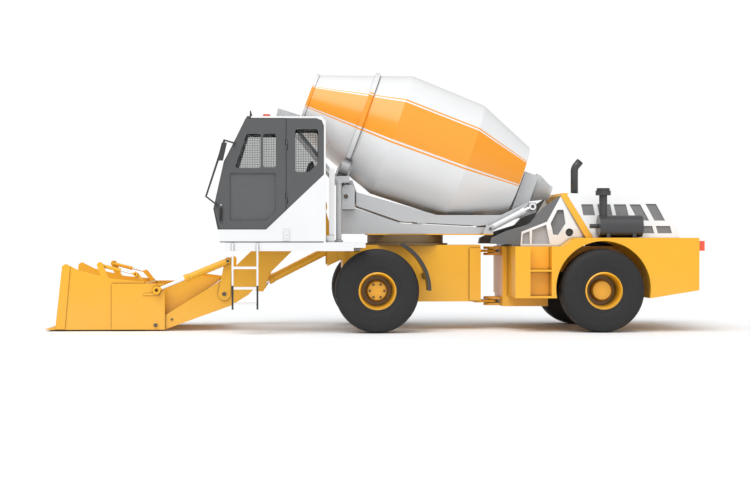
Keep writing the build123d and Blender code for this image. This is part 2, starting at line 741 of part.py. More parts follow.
with BuildPart() as nose_cover:
    nose_shell()
    slab(cover_zone, -nose_half - 1, nose_half + 1, Mode.INTERSECT)
keep(nose_cover.part, "nose_cover")
with BuildPart() as hood_nose:
    nose_shell()
    slab(cover_zone, -nose_half - 1, nose_half + 1, Mode.SUBTRACT)
    for low, high in both(0, valley_half, nose_half + 1):
        for window in nose_windows:
            slab(behind(window), low, high, Mode.SUBTRACT)
    for low, high in both(0, nose_half - 70, nose_half + 1):
        rod_across((wheelbase - 400, 1375), 55, low, high, Mode.SUBTRACT)
keep(hood_nose.part, "hood_nose")

# Engine under the hood.
with BuildPart() as engine:
    block(wheelbase + 20, wheelbase + 850, -250, 250, 1180, 1640)
    block(wheelbase + 100, wheelbase + 750, -130, 130, 1640, 1760)
    rod_across((wheelbase + 800, 1440), 180, -300, 300)
keep(engine.part, "engine")

# Air cleaner on the left fender: drum on two saddles, intake pipe with a rain cap.
cleaner_y = 145 - body_half
cleaner_z = 1461
with BuildPart() as air_cleaner:
    for radius, near, far in ((30, -155, -30), (149, -37, 565)):
        bar(*behind([(near, cleaner_z), (far, cleaner_z)]), cleaner_y, radius, 0, far - near)
    for x in (wheelbase + 60, wheelbase + 420):
        block(x, x + 50, cleaner_y - 110, cleaner_y + 95, body_top, cleaner_z)
    for radius, low, high in ((56, cleaner_z, 1900), (105, 1886, 1950), (90, 1950, 1985)):
        pillar(wheelbase + 31, cleaner_y, radius, low, high)
keep(air_cleaner.part, "air_cleaner")

# Exhaust stack with a slanted tip.
stack_tip = behind([(-250, 2270), (-159, 2393)])
with BuildPart() as exhaust:
    bar(*behind([(-239, 1800), (-239, 2320)]), -300, 53, 124, 520)
    bar(*stack_tip, -300, 53, 20, 150)
    bar(*stack_tip, -300, 46, 60, 151, Mode.SUBTRACT)
keep(exhaust.part, "exhaust")

# Tail lamps.
with BuildPart() as tail_lamps:
    for low, high in both(0, body_half - 150, body_half - 10):
        block(body_tail, body_tail + tail_lamp_t, low, high, 1120, 1257)
keep(tail_lamps.part, "tail_lamps")

# Mudguards behind the front wheels, on brackets from the frame.
guard_r = 700
guard_t = 45
with BuildPart() as mudguards:
    for low, high in both(0, 760, 1100):
        with BuildSketch(side(high)) as arc:
            with Locations((0, axle_z)):
                Circle(guard_r + guard_t)
                Circle(guard_r, mode=Mode.SUBTRACT)
            with BuildLine():
                Polyline((0, axle_z), (1000, axle_z), (1000, 1600), (560, 1600), close=True)
            make_face(mode=Mode.INTERSECT)
        extrude(arc.sketch, amount=high - low)
    for low, high in both(0, frame_half, 770):
        block(640, 715, low, high, 720, 800)
    rod_across((0, axle_z), guard_r, -1100, 1100, Mode.SUBTRACT)
keep(mudguards.part, "mudguards")

# Outside control stand behind the cab, and an oil column beside it.
with BuildPart() as control_stand:
    block(-656, -582, -1250, -1190, cab_floor, 2235)
    block(-700, -582, -1270, -1170, cab_floor, 1330)
keep(control_stand.part, "control_stand")
with BuildPart() as oil_column:
    for radius, low, high in ((58, cab_floor, 1270), (38, 1270, 2060), (46, 2040, 2090)):
        pillar(-520, -1000, radius, low, high)
keep(oil_column.part, "oil_column")

# Mirror on a bent arm from the door's front edge.
mirror_low = mirror_out + 10
mirror_arms = [
    [(-1910, 2545), (-2052, 2588), (-2062, 2612), (-1910, 2569)],
    [(-2066, 2612), (-2040, 2596), (-2288, 1849), (-2314, 1843)],
    [(-2314, 1848), (-2290, 1856), (-2150, 1747), (-2150, 1720)],
]
with BuildPart() as mirror:
    for arm in mirror_arms:
        slab(arm, mirror_low, mirror_low + 24)
    block(-1934, -1910, mirror_low, cab_out, 2545, 2569)
    block(-2174, -2150, mirror_low, cab_out, 1722, 1746)
    slab([(-2150, 2327), (-2075, 2327), (-2020, 2566), (-2090, 2566)], mirror_out, mirror_out + 40)
keep(mirror.part, "mirror")

# Roof beacon and a small fin aerial.
with BuildPart() as roof_beacon:
    for radius, low, high in ((57, cab_roof, 2945), (50, 2945, 2978)):
        pillar(-1503, -1065, radius, low, high)
keep(roof_beacon.part, "roof_beacon")
with BuildPart() as roof_aerial:
    slab([(-1734, cab_roof), (-1729, 3029), (-1716, 3029), (-1687, cab_roof)], -1075, -1055)
keep(roof_aerial.part, "roof_aerial")

# Loader boom: two cranked arms, a cross tube, the tilting cranks and lugs for the lift rams.
arm_out = arm_in + arm_t
arm_outline = [(-3055, 14), (-2939, 20), (-2008, 354), (-1775, 500), (-1178, 1097), (-714, 1634),
               (-926, 1846), (-1747, 1101), (-2057, 799), (-2163, 701), (-2939, 214), (-3055, 154)]
crank_in = arm_out + 15
crank_t = 22
with BuildPart() as boom:
    for low, high in both(boom_y, arm_in, arm_out):
        slab(arm_outline, low, high)
        rod_across(bucket_pin, 70, low, high)
        rod_across(boom_pivot, 150, low, high)
        slab([(-1720, 600), (-1640, 550), (-1560, 550), (-1480, 780), (-1640, 760)], low, high)
    for low, high in both(boom_y, lift_lane + lift_rod_d / 2 + 10, arm_out):
        rod_across(lift_eye, 80, low, high)
    for low, high in both(boom_y, arm_out, crank_in + crank_t):
        rod_across(crank_foot, 85, low, high)
    for low, high in both(boom_y, crank_in, crank_in + crank_t):
        slab([(-2189, 516), (-2100, 978), (-2000, 978), (-2019, 516)], low, high)
        rod_across(crank_top, 50, low, high)
    for low, high in both(boom_y, crank_in, tilt_lane + tilt_d / 2):
        rod_across(crank_top, tilt_pin_r, low, high)
    rod_across((-1841, 800), 75, boom_y - arm_in, boom_y + arm_in)
    rod_across(bucket_pin, bucket_pin_d / 2 + pin_fit, boom_y - 900, boom_y + 900, Mode.SUBTRACT)
    rod_across(boom_pivot, boom_pin_d / 2 + pin_fit, boom_y - 900, boom_y + 900, Mode.SUBTRACT)
keep(boom.part, "boom")

# Lift rams between the arms.
with BuildPart() as lift_ram_barrels:
    for y in (boom_y - lift_lane, boom_y + lift_lane):
        barrel(lift_base, lift_eye, y, 1000, lift_d / 2, lift_rod_d / 2 + 1, lift_pin_r)
keep(lift_ram_barrels.part, "lift_ram_barrels")
with BuildPart() as lift_ram_rods:
    for y in (boom_y - lift_lane, boom_y + lift_lane):
        piston(lift_base, lift_eye, y, 120, lift_rod_d / 2, 62, lift_pin_r)
keep(lift_ram_rods.part, "lift_ram_rods")

# Tilting rams outside the arms, from the cranks to the bucket plates.
with BuildPart() as tilt_ram_barrels:
    for y in (boom_y - tilt_lane, boom_y + tilt_lane):
        barrel(crank_top, tilt_eye, y, 650, tilt_d / 2, tilt_rod_d / 2 + 1, tilt_pin_r)
keep(tilt_ram_barrels.part, "tilt_ram_barrels")
with BuildPart() as tilt_ram_rods:
    for y in (boom_y - tilt_lane, boom_y + tilt_lane):
        piston(crank_top, tilt_eye, y, 330, tilt_rod_d / 2, 55, tilt_pin_r)
keep(tilt_ram_rods.part, "tilt_ram_rods")

# Bucket: floor with a cutting lip, side plates with front strips, a rear wall with a discharge opening, and
# pin plates.
bucket_rear = bucket_back - bucket_t
bucket_in = bucket_half - bucket_t
pin_plate_out = bucket_half + bucket_t
gate_pin_r = 15
strip_front = [(-4439, 62), (-4346, 907), (-4299, 938)]
with BuildPart() as bucket:
    slab([(bucket_lip, 20), (bucket_lip, 34), (-4439, 60), (-4290, 45), (bucket_rear, 45), (bucket_rear, 20)],
         boom_y - bucket_half, boom_y + bucket_half)
    for low, high in both(boom_y, bucket_in, bucket_half):
        slab([(-4445, 20), *strip_front, (-4115, 845), (-3660, 731), (bucket_rear, 690),
              (bucket_rear, 20)], low, high)
        slab([(-3800, 720), (-3870, 917), (-3780, 917), (-3700, 720)], low, high)
        rod_across(gate_ram_base, 45, low, high)
    for low, high in both(boom_y, bucket_half, pin_plate_out):
        block(-3661, -2928, low, high, 22, 662)
    for low, high in both(boom_y, bucket_half, bucket_half + 12):
        slab([(-4445, 30), *strip_front, (-4235, 903), (-4310, 30)], low, high)
    for low, high in both(boom_y, 640, 665):
        slab([(bucket_rear, 20), (bucket_rear, 260), (-3120, 200), (-2990, 130), (-2985, 50), (-3040, 20)],
             low, high)
    for low, high in both(boom_y, 640, pin_plate_out):
        rod_across(bucket_pin, bucket_pin_d / 2, low, high)
    for low, high in both(boom_y, pin_plate_out, pin_plate_out + 12):
        rod_across(tilt_eye, 62, low, high)
        slab([(-3230, 500), (-3210, 530), (-3037, 530), (-3000, 500)], low, high)
    block(bucket_rear - bucket_t, bucket_rear, boom_y - bucket_in, boom_y + bucket_in, 20, 604)
    block(bucket_rear - bucket_t - 1, bucket_rear + 1, boom_y - gate_half + 40, boom_y + gate_half - 40,
          190, 580, Mode.SUBTRACT)
    for low, high in both(boom_y, 715, bucket_in):
        rod_across(gate_hinge, gate_pin_r, low, high)
    for low, high in both(boom_y, gate_lane - 22, bucket_in):
        rod_across(gate_ram_base, gate_ram_pin_r, low, high)
keep(bucket.part, "bucket")

# Discharge gate: plate behind the rear wall on a hinge tube, with an arm for each gate ram.
gate_face = bucket_rear + 5
with BuildPart() as bucket_gate:
    block(gate_face, gate_face + gate_t, boom_y - gate_half, boom_y + gate_half,
          gate_hinge[1] - gate_drop, gate_hinge[1])
    rod_across(gate_hinge, 30, boom_y - bucket_in + 5, boom_y + bucket_in - 5)
    for low, high in both(boom_y, 680, 700):
        slab([(-3251, 640), (-3384, 792), (-3344, 832), (-3300, 800), (-3191, 650)], low, high)
    rod_across(gate_hinge, gate_pin_r + pin_fit, boom_y - bucket_in, boom_y + bucket_in, Mode.SUBTRACT)
keep(bucket_gate.part, "bucket_gate")
with BuildPart() as gate_ram_barrels:
    for y in (boom_y - gate_lane, boom_y + gate_lane):
        barrel(gate_ram_base, gate_ram_eye, y, 290, gate_ram_d / 2, gate_rod_d / 2 + 1, gate_ram_pin_r)
keep(gate_ram_barrels.part, "gate_ram_barrels")
with BuildPart() as gate_ram_rods:
    for y in (boom_y - gate_lane, boom_y + gate_lane):
        piston(gate_ram_base, gate_ram_eye, y, 130, gate_rod_d / 2, 32, gate_ram_pin_r)
keep(gate_ram_rods.part, "gate_ram_rods")

# Discharge chute from the bucket's rear, between the arms.
with BuildPart() as chute:
    slab([(bucket_rear, 20), (bucket_rear, 60), (-3190, 60), (-2191, 716), (-2191, 700), (-3165, 60),
          (-3185, 20)], boom_y - chute_half, boom_y + chute_half)
    for low, high in both(boom_y, chute_half - chute_t, chute_half):
        slab([(-3185, 50), (-3185, 560), (-2980, 640), (-2444, 767), (-2191, 735), (-2191, 700),
              (-3165, 50)], low, high)
keep(chute.part, "chute")
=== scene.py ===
import json
import math
import bmesh
import bpy
import numpy as np
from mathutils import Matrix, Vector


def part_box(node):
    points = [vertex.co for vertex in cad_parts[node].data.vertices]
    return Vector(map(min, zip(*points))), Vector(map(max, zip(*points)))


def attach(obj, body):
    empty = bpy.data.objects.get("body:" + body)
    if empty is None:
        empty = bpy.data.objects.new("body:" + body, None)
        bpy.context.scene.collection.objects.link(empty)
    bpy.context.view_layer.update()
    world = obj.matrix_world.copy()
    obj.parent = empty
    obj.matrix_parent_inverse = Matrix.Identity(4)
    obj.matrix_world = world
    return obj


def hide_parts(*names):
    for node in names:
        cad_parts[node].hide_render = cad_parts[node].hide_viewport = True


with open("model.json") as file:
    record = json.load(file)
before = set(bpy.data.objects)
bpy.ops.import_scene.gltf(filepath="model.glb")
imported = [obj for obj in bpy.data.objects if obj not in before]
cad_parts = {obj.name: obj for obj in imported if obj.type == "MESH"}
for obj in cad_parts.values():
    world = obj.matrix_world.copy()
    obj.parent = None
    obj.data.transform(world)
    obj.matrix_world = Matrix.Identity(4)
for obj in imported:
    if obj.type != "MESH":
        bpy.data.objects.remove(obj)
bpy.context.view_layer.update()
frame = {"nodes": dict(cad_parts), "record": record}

# Front chassis: a welded steel box with the axle bolted under it and the slewing ring on top.
# It is sprayed in warm yellow enamel, slightly dusty low down, with painted shade in its creases. Later
# pieces share the film of paint.
YELLOW = (0.880, 0.430, 0.010, 1)


def paint_film():
    """Node group of a sprayed film: broad random changes of tone, painted shade in tight creases, fine peel,
    dust low down.
    """
    group = bpy.data.node_groups.new("paint_film", "ShaderNodeTree")
    group.interface.new_socket("Colour", in_out="INPUT", socket_type="NodeSocketColor")
    group.interface.new_socket("Gloss", in_out="INPUT", socket_type="NodeSocketFloat")
    group.interface.new_socket("Dust", in_out="INPUT", socket_type="NodeSocketFloat")
    group.interface.new_socket("Colour", in_out="OUTPUT", socket_type="NodeSocketColor")
    group.interface.new_socket("Roughness", in_out="OUTPUT", socket_type="NodeSocketFloat")
    group.interface.new_socket("Height", in_out="OUTPUT", socket_type="NodeSocketFloat")
    nodes = group.nodes
    links = group.links
    given = nodes.new("NodeGroupInput")
    out = nodes.new("NodeGroupOutput")
    coords = nodes.new("ShaderNodeTexCoord")
    broad = nodes.new("ShaderNodeTexNoise")
    broad.inputs["Scale"].default_value = 1.7
    broad.inputs["Detail"].default_value = 5
    links.new(coords.outputs["Object"], broad.inputs["Vector"])
    shade = nodes.new("ShaderNodeMapRange")
    shade.inputs["To Min"].default_value = 0.93
    shade.inputs["To Max"].default_value = 1.04
    links.new(broad.outputs["Fac"], shade.inputs["Value"])
    tone = nodes.new("ShaderNodeVectorMath")
    tone.operation = "SCALE"
    links.new(given.outputs["Colour"], tone.inputs[0])
    links.new(shade.outputs["Result"], tone.inputs["Scale"])
    split = nodes.new("ShaderNodeSeparateXYZ")
    links.new(coords.outputs["Object"], split.inputs["Vector"])
    low = nodes.new("ShaderNodeMapRange")
    low.inputs["From Min"].default_value = 0.9
    low.inputs["From Max"].default_value = 0.0
    links.new(split.outputs["Z"], low.inputs["Value"])
    patch = nodes.new("ShaderNodeMath")
    patch.operation = "MULTIPLY"
    links.new(low.outputs["Result"], patch.inputs[0])
    links.new(broad.outputs["Fac"], patch.inputs[1])
    amount = nodes.new("ShaderNodeMath")
    amount.operation = "MULTIPLY"
    links.new(patch.outputs["Value"], amount.inputs[0])
    links.new(given.outputs["Dust"], amount.inputs[1])
    dusty = nodes.new("ShaderNodeMix")
    dusty.data_type = "RGBA"
    dusty.inputs["B"].default_value = (0.42, 0.36, 0.29, 1)
    links.new(amount.outputs["Value"], dusty.inputs["Factor"])
    links.new(tone.outputs["Vector"], dusty.inputs["A"])
    # Painted shade: an occlusion node darkens the colour in tight creases and between parts.
    crease = nodes.new("ShaderNodeAmbientOcclusion")
    crease.samples = 8
    crease.inputs["Distance"].default_value = 0.045
    crease_shade_map = nodes.new("ShaderNodeMapRange")
    crease_shade_map.inputs["From Min"].default_value = 0.45
    crease_shade_map.inputs["From Max"].default_value = 0.85
    crease_shade_map.inputs["To Min"].default_value = 0.35
    links.new(crease.outputs["AO"], crease_shade_map.inputs["Value"])
    crease_shaded_colour = nodes.new("ShaderNodeVectorMath")
    crease_shaded_colour.operation = "SCALE"
    links.new(dusty.outputs["Result"], crease_shaded_colour.inputs[0])
    links.new(crease_shade_map.outputs["Result"], crease_shaded_colour.inputs["Scale"])
    links.new(crease_shaded_colour.outputs["Vector"], out.inputs["Colour"])
    rough = nodes.new("ShaderNodeMath")
    rough.operation = "MULTIPLY_ADD"
    rough.inputs[1].default_value = 0.12
    links.new(broad.outputs["Fac"], rough.inputs[0])
    links.new(given.outputs["Gloss"], rough.inputs[2])
    links.new(rough.outputs["Value"], out.inputs["Roughness"])
    peel = nodes.new("ShaderNodeTexNoise")
    peel.inputs["Scale"].default_value = 140
    links.new(coords.outputs["Object"], peel.inputs["Vector"])
    links.new(peel.outputs["Fac"], out.inputs["Height"])
    return group


film = paint_film()


def sprayed(name, colour, gloss, dust=0.25, coat=0.25):
    """Painted steel: the paint film drives colour, with its painted crease shade, roughness and a faint peel.
    """
    material = bpy.data.materials.new(name)
    material.use_nodes = True
    nodes = material.node_tree.nodes
    links = material.node_tree.links
    shader = nodes["Principled BSDF"]
    shader.inputs["Coat Weight"].default_value = coat
    shader.inputs["Coat Roughness"].default_value = 0.15
    coat_film = nodes.new("ShaderNodeGroup")
    coat_film.node_tree = film
    coat_film.inputs["Colour"].default_value = colour
    coat_film.inputs["Gloss"].default_value = gloss
    coat_film.inputs["Dust"].default_value = dust
    bump = nodes.new("ShaderNodeBump")
    bump.inputs["Strength"].default_value = 0.06
    bump.inputs["Distance"].default_value = 0.002
    links.new(coat_film.outputs["Colour"], shader.inputs["Base Color"])
    links.new(coat_film.outputs["Roughness"], shader.inputs["Roughness"])
    links.new(coat_film.outputs["Height"], bump.inputs["Height"])
    links.new(bump.outputs["Normal"], shader.inputs["Normal"])
    return material


def dress(material, *names):
    """Gives CAD nodes their material."""
    for name in names:
        mesh = frame["nodes"][name].data
        mesh.materials.clear()
        mesh.materials.append(material)


yellow_enamel = sprayed("yellow_enamel", YELLOW, 0.34, coat=0.12)
black_enamel = sprayed("black_enamel", (0.026, 0.026, 0.028, 1), 0.38)
ring_enamel = sprayed("ring_enamel", (0.170, 0.105, 0.040, 1), 0.45)
dress(yellow_enamel, "front_frame")
dress(ring_enamel, "slew_ring")
dress(black_enamel, "front_axle", "rear_axle", "mudguards")

# Wheels: wide rubber tyres with smooth faces and shallow tread grooves, on dished yellow rims.
# Each front hub cap is held by a ring of six dark bolts.
WHEEL_BODIES = {"front_left": -1, "front_right": 1, "rear_left": -1, "rear_right": 1}
SHOULDER_DROP = 0.175
WALL_DROP = 0.178
WALL_DISH = 0.022
RING_DEPTH = 0.006
GROOVES = 18
GROOVE_DEPTH = 0.010
HUB_FACE = 0.060
BOLT_RING_R = 0.098


def surface(name, points, wrap_rows, wrap_columns):
    """Mesh of a grid of points: quads between neighbours, closed along rows or columns where asked.

    Points that fall together, at a pole or a seam, are merged.
    """
    rows, columns = points.shape[:2]
    i = np.arange(rows if wrap_rows else rows - 1)[:, None]
    j = np.arange(columns if wrap_columns else columns - 1)[None, :]
    below = (i + 1) % rows
    right = (j + 1) % columns
    quads = np.stack([i * columns + j, i * columns + right, below * columns + right, below * columns + j],
                     axis=-1)
    mesh = bpy.data.meshes.new(name)
    mesh.from_pydata(points.reshape(-1, 3).tolist(), [], quads.reshape(-1, 4).tolist())
    sewn = bmesh.new()
    sewn.from_mesh(mesh)
    bmesh.ops.remove_doubles(sewn, verts=sewn.verts, dist=1e-6)
    sewn.to_mesh(mesh)
    sewn.free()
    mesh.validate()
    mesh.update()
    piece = bpy.data.objects.new(name, mesh)
    bpy.context.scene.collection.objects.link(piece)
    return piece


def outward(piece):
    """Turns a closed mesh's faces outwards: their signed volume is made positive."""
    mesh = piece.data
    corners = np.array([mesh.vertices[v].co[:] for face in mesh.polygons for v in face.vertices[:3]])
    corners = corners.reshape(-1, 3, 3)
    middle = corners.mean(axis=(0, 1))
    a, b, c = (corners - middle).transpose(1, 0, 2)
    if np.einsum("ij,ij->i", a, np.cross(b, c)).sum() < 0:
        mesh.flip_normals()


def fit(piece, body, material, smooth=True):
    """Finishes a piece: outward faces, smooth shading, its material and the body it moves with."""
    outward(piece)
    piece.data.polygons.foreach_set("use_smooth", [smooth] * len(piece.data.polygons))
    piece.data.materials.append(material)
    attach(piece, body)
    return piece


def rubber():
    """Black tyre rubber with a faint mottled grain in its colour, gloss and bump."""
    material = bpy.data.materials.new("tyre_rubber")
    material.use_nodes = True
    nodes = material.node_tree.nodes
    links = material.node_tree.links
    shader = nodes["Principled BSDF"]
    shader.inputs["Specular IOR Level"].default_value = 0.35
    coords = nodes.new("ShaderNodeTexCoord")
    grain = nodes.new("ShaderNodeTexNoise")
    grain.inputs["Scale"].default_value = 22
    grain.inputs["Detail"].default_value = 8
    links.new(coords.outputs["Object"], grain.inputs["Vector"])
    colour = nodes.new("ShaderNodeMix")
    colour.data_type = "RGBA"
    colour.inputs["A"].default_value = (0.011, 0.011, 0.012, 1)
    colour.inputs["B"].default_value = (0.029, 0.028, 0.028, 1)
    links.new(grain.outputs["Fac"], colour.inputs["Factor"])
    links.new(colour.outputs["Result"], shader.inputs["Base Color"])
    rough = nodes.new("ShaderNodeMapRange")
    rough.inputs["To Min"].default_value = 0.55
    rough.inputs["To Max"].default_value = 0.8
    links.new(grain.outputs["Fac"], rough.inputs["Value"])
    links.new(rough.outputs["Result"], shader.inputs["Roughness"])
    bump = nodes.new("ShaderNodeBump")
    bump.inputs["Strength"].default_value = 0.25
    bump.inputs["Distance"].default_value = 0.002
    links.new(grain.outputs["Fac"], bump.inputs["Height"])
    links.new(bump.outputs["Normal"], shader.inputs["Normal"])
    return material


def dished_enamel():
    """Yellow enamel darkened by painted shade where the rim's dish closes in round the surface."""
    material = sprayed("rim_enamel", YELLOW, 0.34, coat=0.12)
    nodes = material.node_tree.nodes
    links = material.node_tree.links
    shader = nodes["Principled BSDF"]
    # Painted shade: an occlusion node darkens the colour down inside the dish.
    dish = nodes.new("ShaderNodeAmbientOcclusion")
    dish.samples = 8
    dish.inputs["Distance"].default_value = 0.22
    depth = nodes.new("ShaderNodeMapRange")
    depth.inputs["From Min"].default_value = 0.40
    depth.inputs["From Max"].default_value = 0.85
    depth.inputs["To Min"].default_value = 0.40
    links.new(dish.outputs["AO"], depth.inputs["Value"])
    dish_shaded_colour = nodes.new("ShaderNodeVectorMath")
    dish_shaded_colour.operation = "SCALE"
    links.new(shader.inputs["Base Color"].links[0].from_socket, dish_shaded_colour.inputs[0])
    links.new(depth.outputs["Result"], dish_shaded_colour.inputs["Scale"])
    links.new(dish_shaded_colour.outputs["Vector"], shader.inputs["Base Color"])
    return material


tyre_rubber = rubber()
bolt_steel = sprayed("bolt_steel", (0.085, 0.062, 0.035, 1), 0.40, dust=0.0)
for place, sign in WHEEL_BODIES.items():
    low, high = (np.array(corner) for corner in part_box(f"tyre_{place}"))
    middle = (low + high) / 2
    tread_r = (high[2] - low[2]) / 2
    half = (high[1] - low[1]) / 2
    bead_r = (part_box(f"rim_{place}")[1][2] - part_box(f"rim_{place}")[0][2]) / 2
    # Section from the inner bead round the crown to the outer bead: a flat crown with superellipse shoulders,
    # then a dished sidewall with one sunk ring near the bead.
    turn = np.linspace(-np.pi / 2, np.pi / 2, 61)
    width = np.sign(np.sin(turn)) * np.abs(np.sin(turn)) ** 0.42 * half
    shoulder = tread_r - SHOULDER_DROP * (1 - np.abs(np.cos(turn)) ** 0.55)
    wall_r = np.linspace(bead_r, tread_r - WALL_DROP, 14)
    wall_y = half - WALL_DISH * (1 - (wall_r - bead_r) / (tread_r - WALL_DROP - bead_r)) ** 2
    wall_y = wall_y - RING_DEPTH * (np.abs(wall_r - bead_r - 0.045) < 0.010)
    section_y = np.concatenate([-wall_y, width, wall_y[::-1]])
    section_r = np.concatenate([wall_r, shoulder, wall_r[::-1]])
    angle = np.linspace(0, 2 * np.pi, 145)[:-1][:, None]
    crown = np.exp(-((section_y / (0.62 * half)) ** 8))[None, :] * (section_r > tread_r - 0.06)[None, :]
    wave = np.sin(GROOVES * angle + 5 * section_y[None, :] / half * np.sign(section_y)[None, :])
    groove = GROOVE_DEPTH * crown * (wave > 0.80)
    ring_r = section_r[None, :] - groove
    points = np.stack([middle[0] + ring_r * np.cos(angle), middle[1] + section_y[None, :] + 0 * angle,
                       middle[2] + ring_r * np.sin(angle)], axis=-1)
    tyre = surface(f"tyre_skin_{place}", points, True, True)
    fit(tyre, f"wheel_{place}", tyre_rubber)
    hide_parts(f"tyre_{place}")
    # Six hexagon bolts on the hub cap: each a six-sided ring carried from the cap to a flat top.
    cap_y = middle[1] + sign * HUB_FACE
    spin = np.linspace(0, 2 * np.pi, 7)[:-1]
    corner = np.linspace(0, 2 * np.pi, 7)[:-1]
    reach = np.array([0.0, 0.014, 0.014, 0.011, 0.0])
    depth = np.array([-0.004, -0.004, 0.010, 0.013, 0.013]) * sign
    for number, turn_at in enumerate(spin if place.startswith("front") else ()):
        x = middle[0] + BOLT_RING_R * np.cos(turn_at)
        z = middle[2] + BOLT_RING_R * np.sin(turn_at)
        bolt_points = np.stack([x + reach[:, None] * np.cos(corner), cap_y + depth[:, None] + 0 * corner,
                                z + reach[:, None] * np.sin(corner)], axis=-1)
        bolt = surface(f"hub_bolt_{place}_{number}", bolt_points, False, True)
        fit(bolt, f"wheel_{place}", bolt_steel, smooth=False)
# The rims' enamel carries painted shade down in the dish.
dress(dished_enamel(), *(f"rim_{place}" for place in WHEEL_BODIES))
dress(tyre_rubber, *(f"tyre_{place}" for place in WHEEL_BODIES))

# Cab: a white pressed tub and roof under a dark grey window frame, on a flat white deck with a ladder.
# Behind it stands the outside control post. All of it is sprayed sheet steel.
white_enamel = sprayed("white_enamel", (0.80, 0.805, 0.81, 1), 0.28, dust=0.10)
grey_enamel = sprayed("grey_enamel", (0.55, 0.56, 0.57, 1), 0.34, dust=0.15)
frame_enamel = sprayed("frame_enamel", (0.080, 0.081, 0.083, 1), 0.40, dust=0.0, coat=0.1)
dress(white_enamel, "cab_platform", "cab_tub", "control_stand")
dress(frame_enamel, "cab_frame", "cab_door")
dress(grey_enamel, "oil_column")
dress(black_enamel, "mirror")


def pane_glass(name, tint, clearness):
    """Tinted window glass with a hard gloss."""
    material = bpy.data.materials.new(name)
    material.use_nodes = True
    shader = material.node_tree.nodes["Principled BSDF"]
    shader.inputs["Base Color"].default_value = tint
    shader.inputs["Roughness"].default_value = 0.02
    shader.inputs["IOR"].default_value = 1.12
    shader.inputs["Transmission Weight"].default_value = clearness
    return material


clear_glass = pane_glass("clear_glass", (0.95, 0.96, 0.96, 1), 1.0)
dark_glass = pane_glass("dark_glass", (0.36, 0.37, 0.38, 1), 0.72)
dress(clear_glass, "cab_glass", "door_glass")
# The door's low pane is the dark one.
LOW_PANE_TOP = 2.20
door_panes = frame["nodes"]["door_glass"].data
door_panes.materials.append(dark_glass)
for face in door_panes.polygons:
    if face.center.z < LOW_PANE_TOP:
        face.material_index = 1

# Access ladder: two square steel rails hooked on the deck's edge, with three treads welded between them.
# It is white, and the rails' lower ends are dipped in black rubber.
DIP_TOP = 0.66
LADDER_X = -1.7555
TREAD_HALF = 0.152


def dipped_enamel():
    """White enamel, black where the height is under a level and the place is outside the treads' width."""
    material = sprayed("ladder_enamel", (0.80, 0.805, 0.81, 1), 0.28, dust=0.0)
    nodes = material.node_tree.nodes
    links = material.node_tree.links
    coords = nodes.new("ShaderNodeTexCoord")
    split = nodes.new("ShaderNodeSeparateXYZ")
    links.new(coords.outputs["Object"], split.inputs["Vector"])
    low = nodes.new("ShaderNodeMath")
    low.operation = "LESS_THAN"
    low.inputs[1].default_value = DIP_TOP
    links.new(split.outputs["Z"], low.inputs[0])
    tread = nodes.new("ShaderNodeMath")
    tread.operation = "COMPARE"
    tread.inputs[1].default_value = LADDER_X
    tread.inputs[2].default_value = TREAD_HALF
    links.new(split.outputs["X"], tread.inputs[0])
    dipped = nodes.new("ShaderNodeMath")
    dipped.operation = "SUBTRACT"
    dipped.use_clamp = True
    links.new(low.outputs["Value"], dipped.inputs[0])
    links.new(tread.outputs["Value"], dipped.inputs[1])
    mix = nodes.new("ShaderNodeMix")
    mix.data_type = "RGBA"
    mix.inputs["B"].default_value = (0.016, 0.016, 0.017, 1)
    shader = nodes["Principled BSDF"]
    links.new(dipped.outputs["Value"], mix.inputs["Factor"])
    links.new(shader.inputs["Base Color"].links[0].from_socket, mix.inputs["A"])
    links.new(mix.outputs["Result"], shader.inputs["Base Color"])
    return material


dress(dipped_enamel(), "access_ladder")

# Window guards: welded wire screens behind the upper door panes and the quarter pane.
# The wires are flat-sided, black enamelled, one set upright and one set level.
# Panes: the body and the outline in the side view.
GUARD_PANES = {
    "door_front": ("door", [(-1761, 2692), (-1575, 2692), (-1575, 2232), (-1922, 2232)]),
    "door_rear": ("door", [(-1543, 2692), (-1367, 2692), (-1367, 2243), (-1543, 2243)]),
    "quarter": ("chassis_front", [(-1114, 2753), (-807, 2753), (-807, 2300), (-930, 2180), (-1114, 2180)]),
}
ROW_SHIFT = np.array([27.5, 120.0, 0.0])


def boxes(name, low, high):
    """Mesh of many square blocks: the eight corners and six faces of each, from its low and high corners."""
    pick = np.array([[0, 0, 0], [1, 0, 0], [1, 1, 0], [0, 1, 0], [0, 0, 1], [1, 0, 1], [1, 1, 1], [0, 1, 1]])
    face = np.array([[0, 3, 2, 1], [4, 5, 6, 7], [0, 1, 5, 4], [1, 2, 6, 5], [2, 3, 7, 6], [3, 0, 4, 7]])
    low = np.atleast_2d(low)
    high = np.atleast_2d(high)
    points = (low[:, None, :] * (1 - pick) + high[:, None, :] * pick + ROW_SHIFT) / 1000
    faces = face[None] + 8 * np.arange(len(low))[:, None, None]
    mesh = bpy.data.meshes.new(name)
    mesh.from_pydata(points.reshape(-1, 3).tolist(), [], faces.reshape(-1, 4).tolist())
    mesh.update()
    piece = bpy.data.objects.new(name, mesh)
    bpy.context.scene.collection.objects.link(piece)
    return piece


def chord(outline, level, across):
    """Where lines at given levels enter and leave a convex outline, by clipping against each edge."""
    start = np.array(outline, float)
    end = np.roll(start, -1, axis=0)
    a, b = (1, 0) if across else (0, 1)
    rise = end[:, a] - start[:, a]
    rise = np.where(np.abs(rise) < 1e-9, 1e-9, rise)
    share = (level[:, None] - start[None, :, a]) / rise
    crossing = start[None, :, b] + share * (end - start)[None, :, b]
    inside = (share >= 0) & (share <= 1)
    return np.where(inside, crossing, np.inf).min(axis=1), np.where(inside, crossing, -np.inf).max(axis=1)


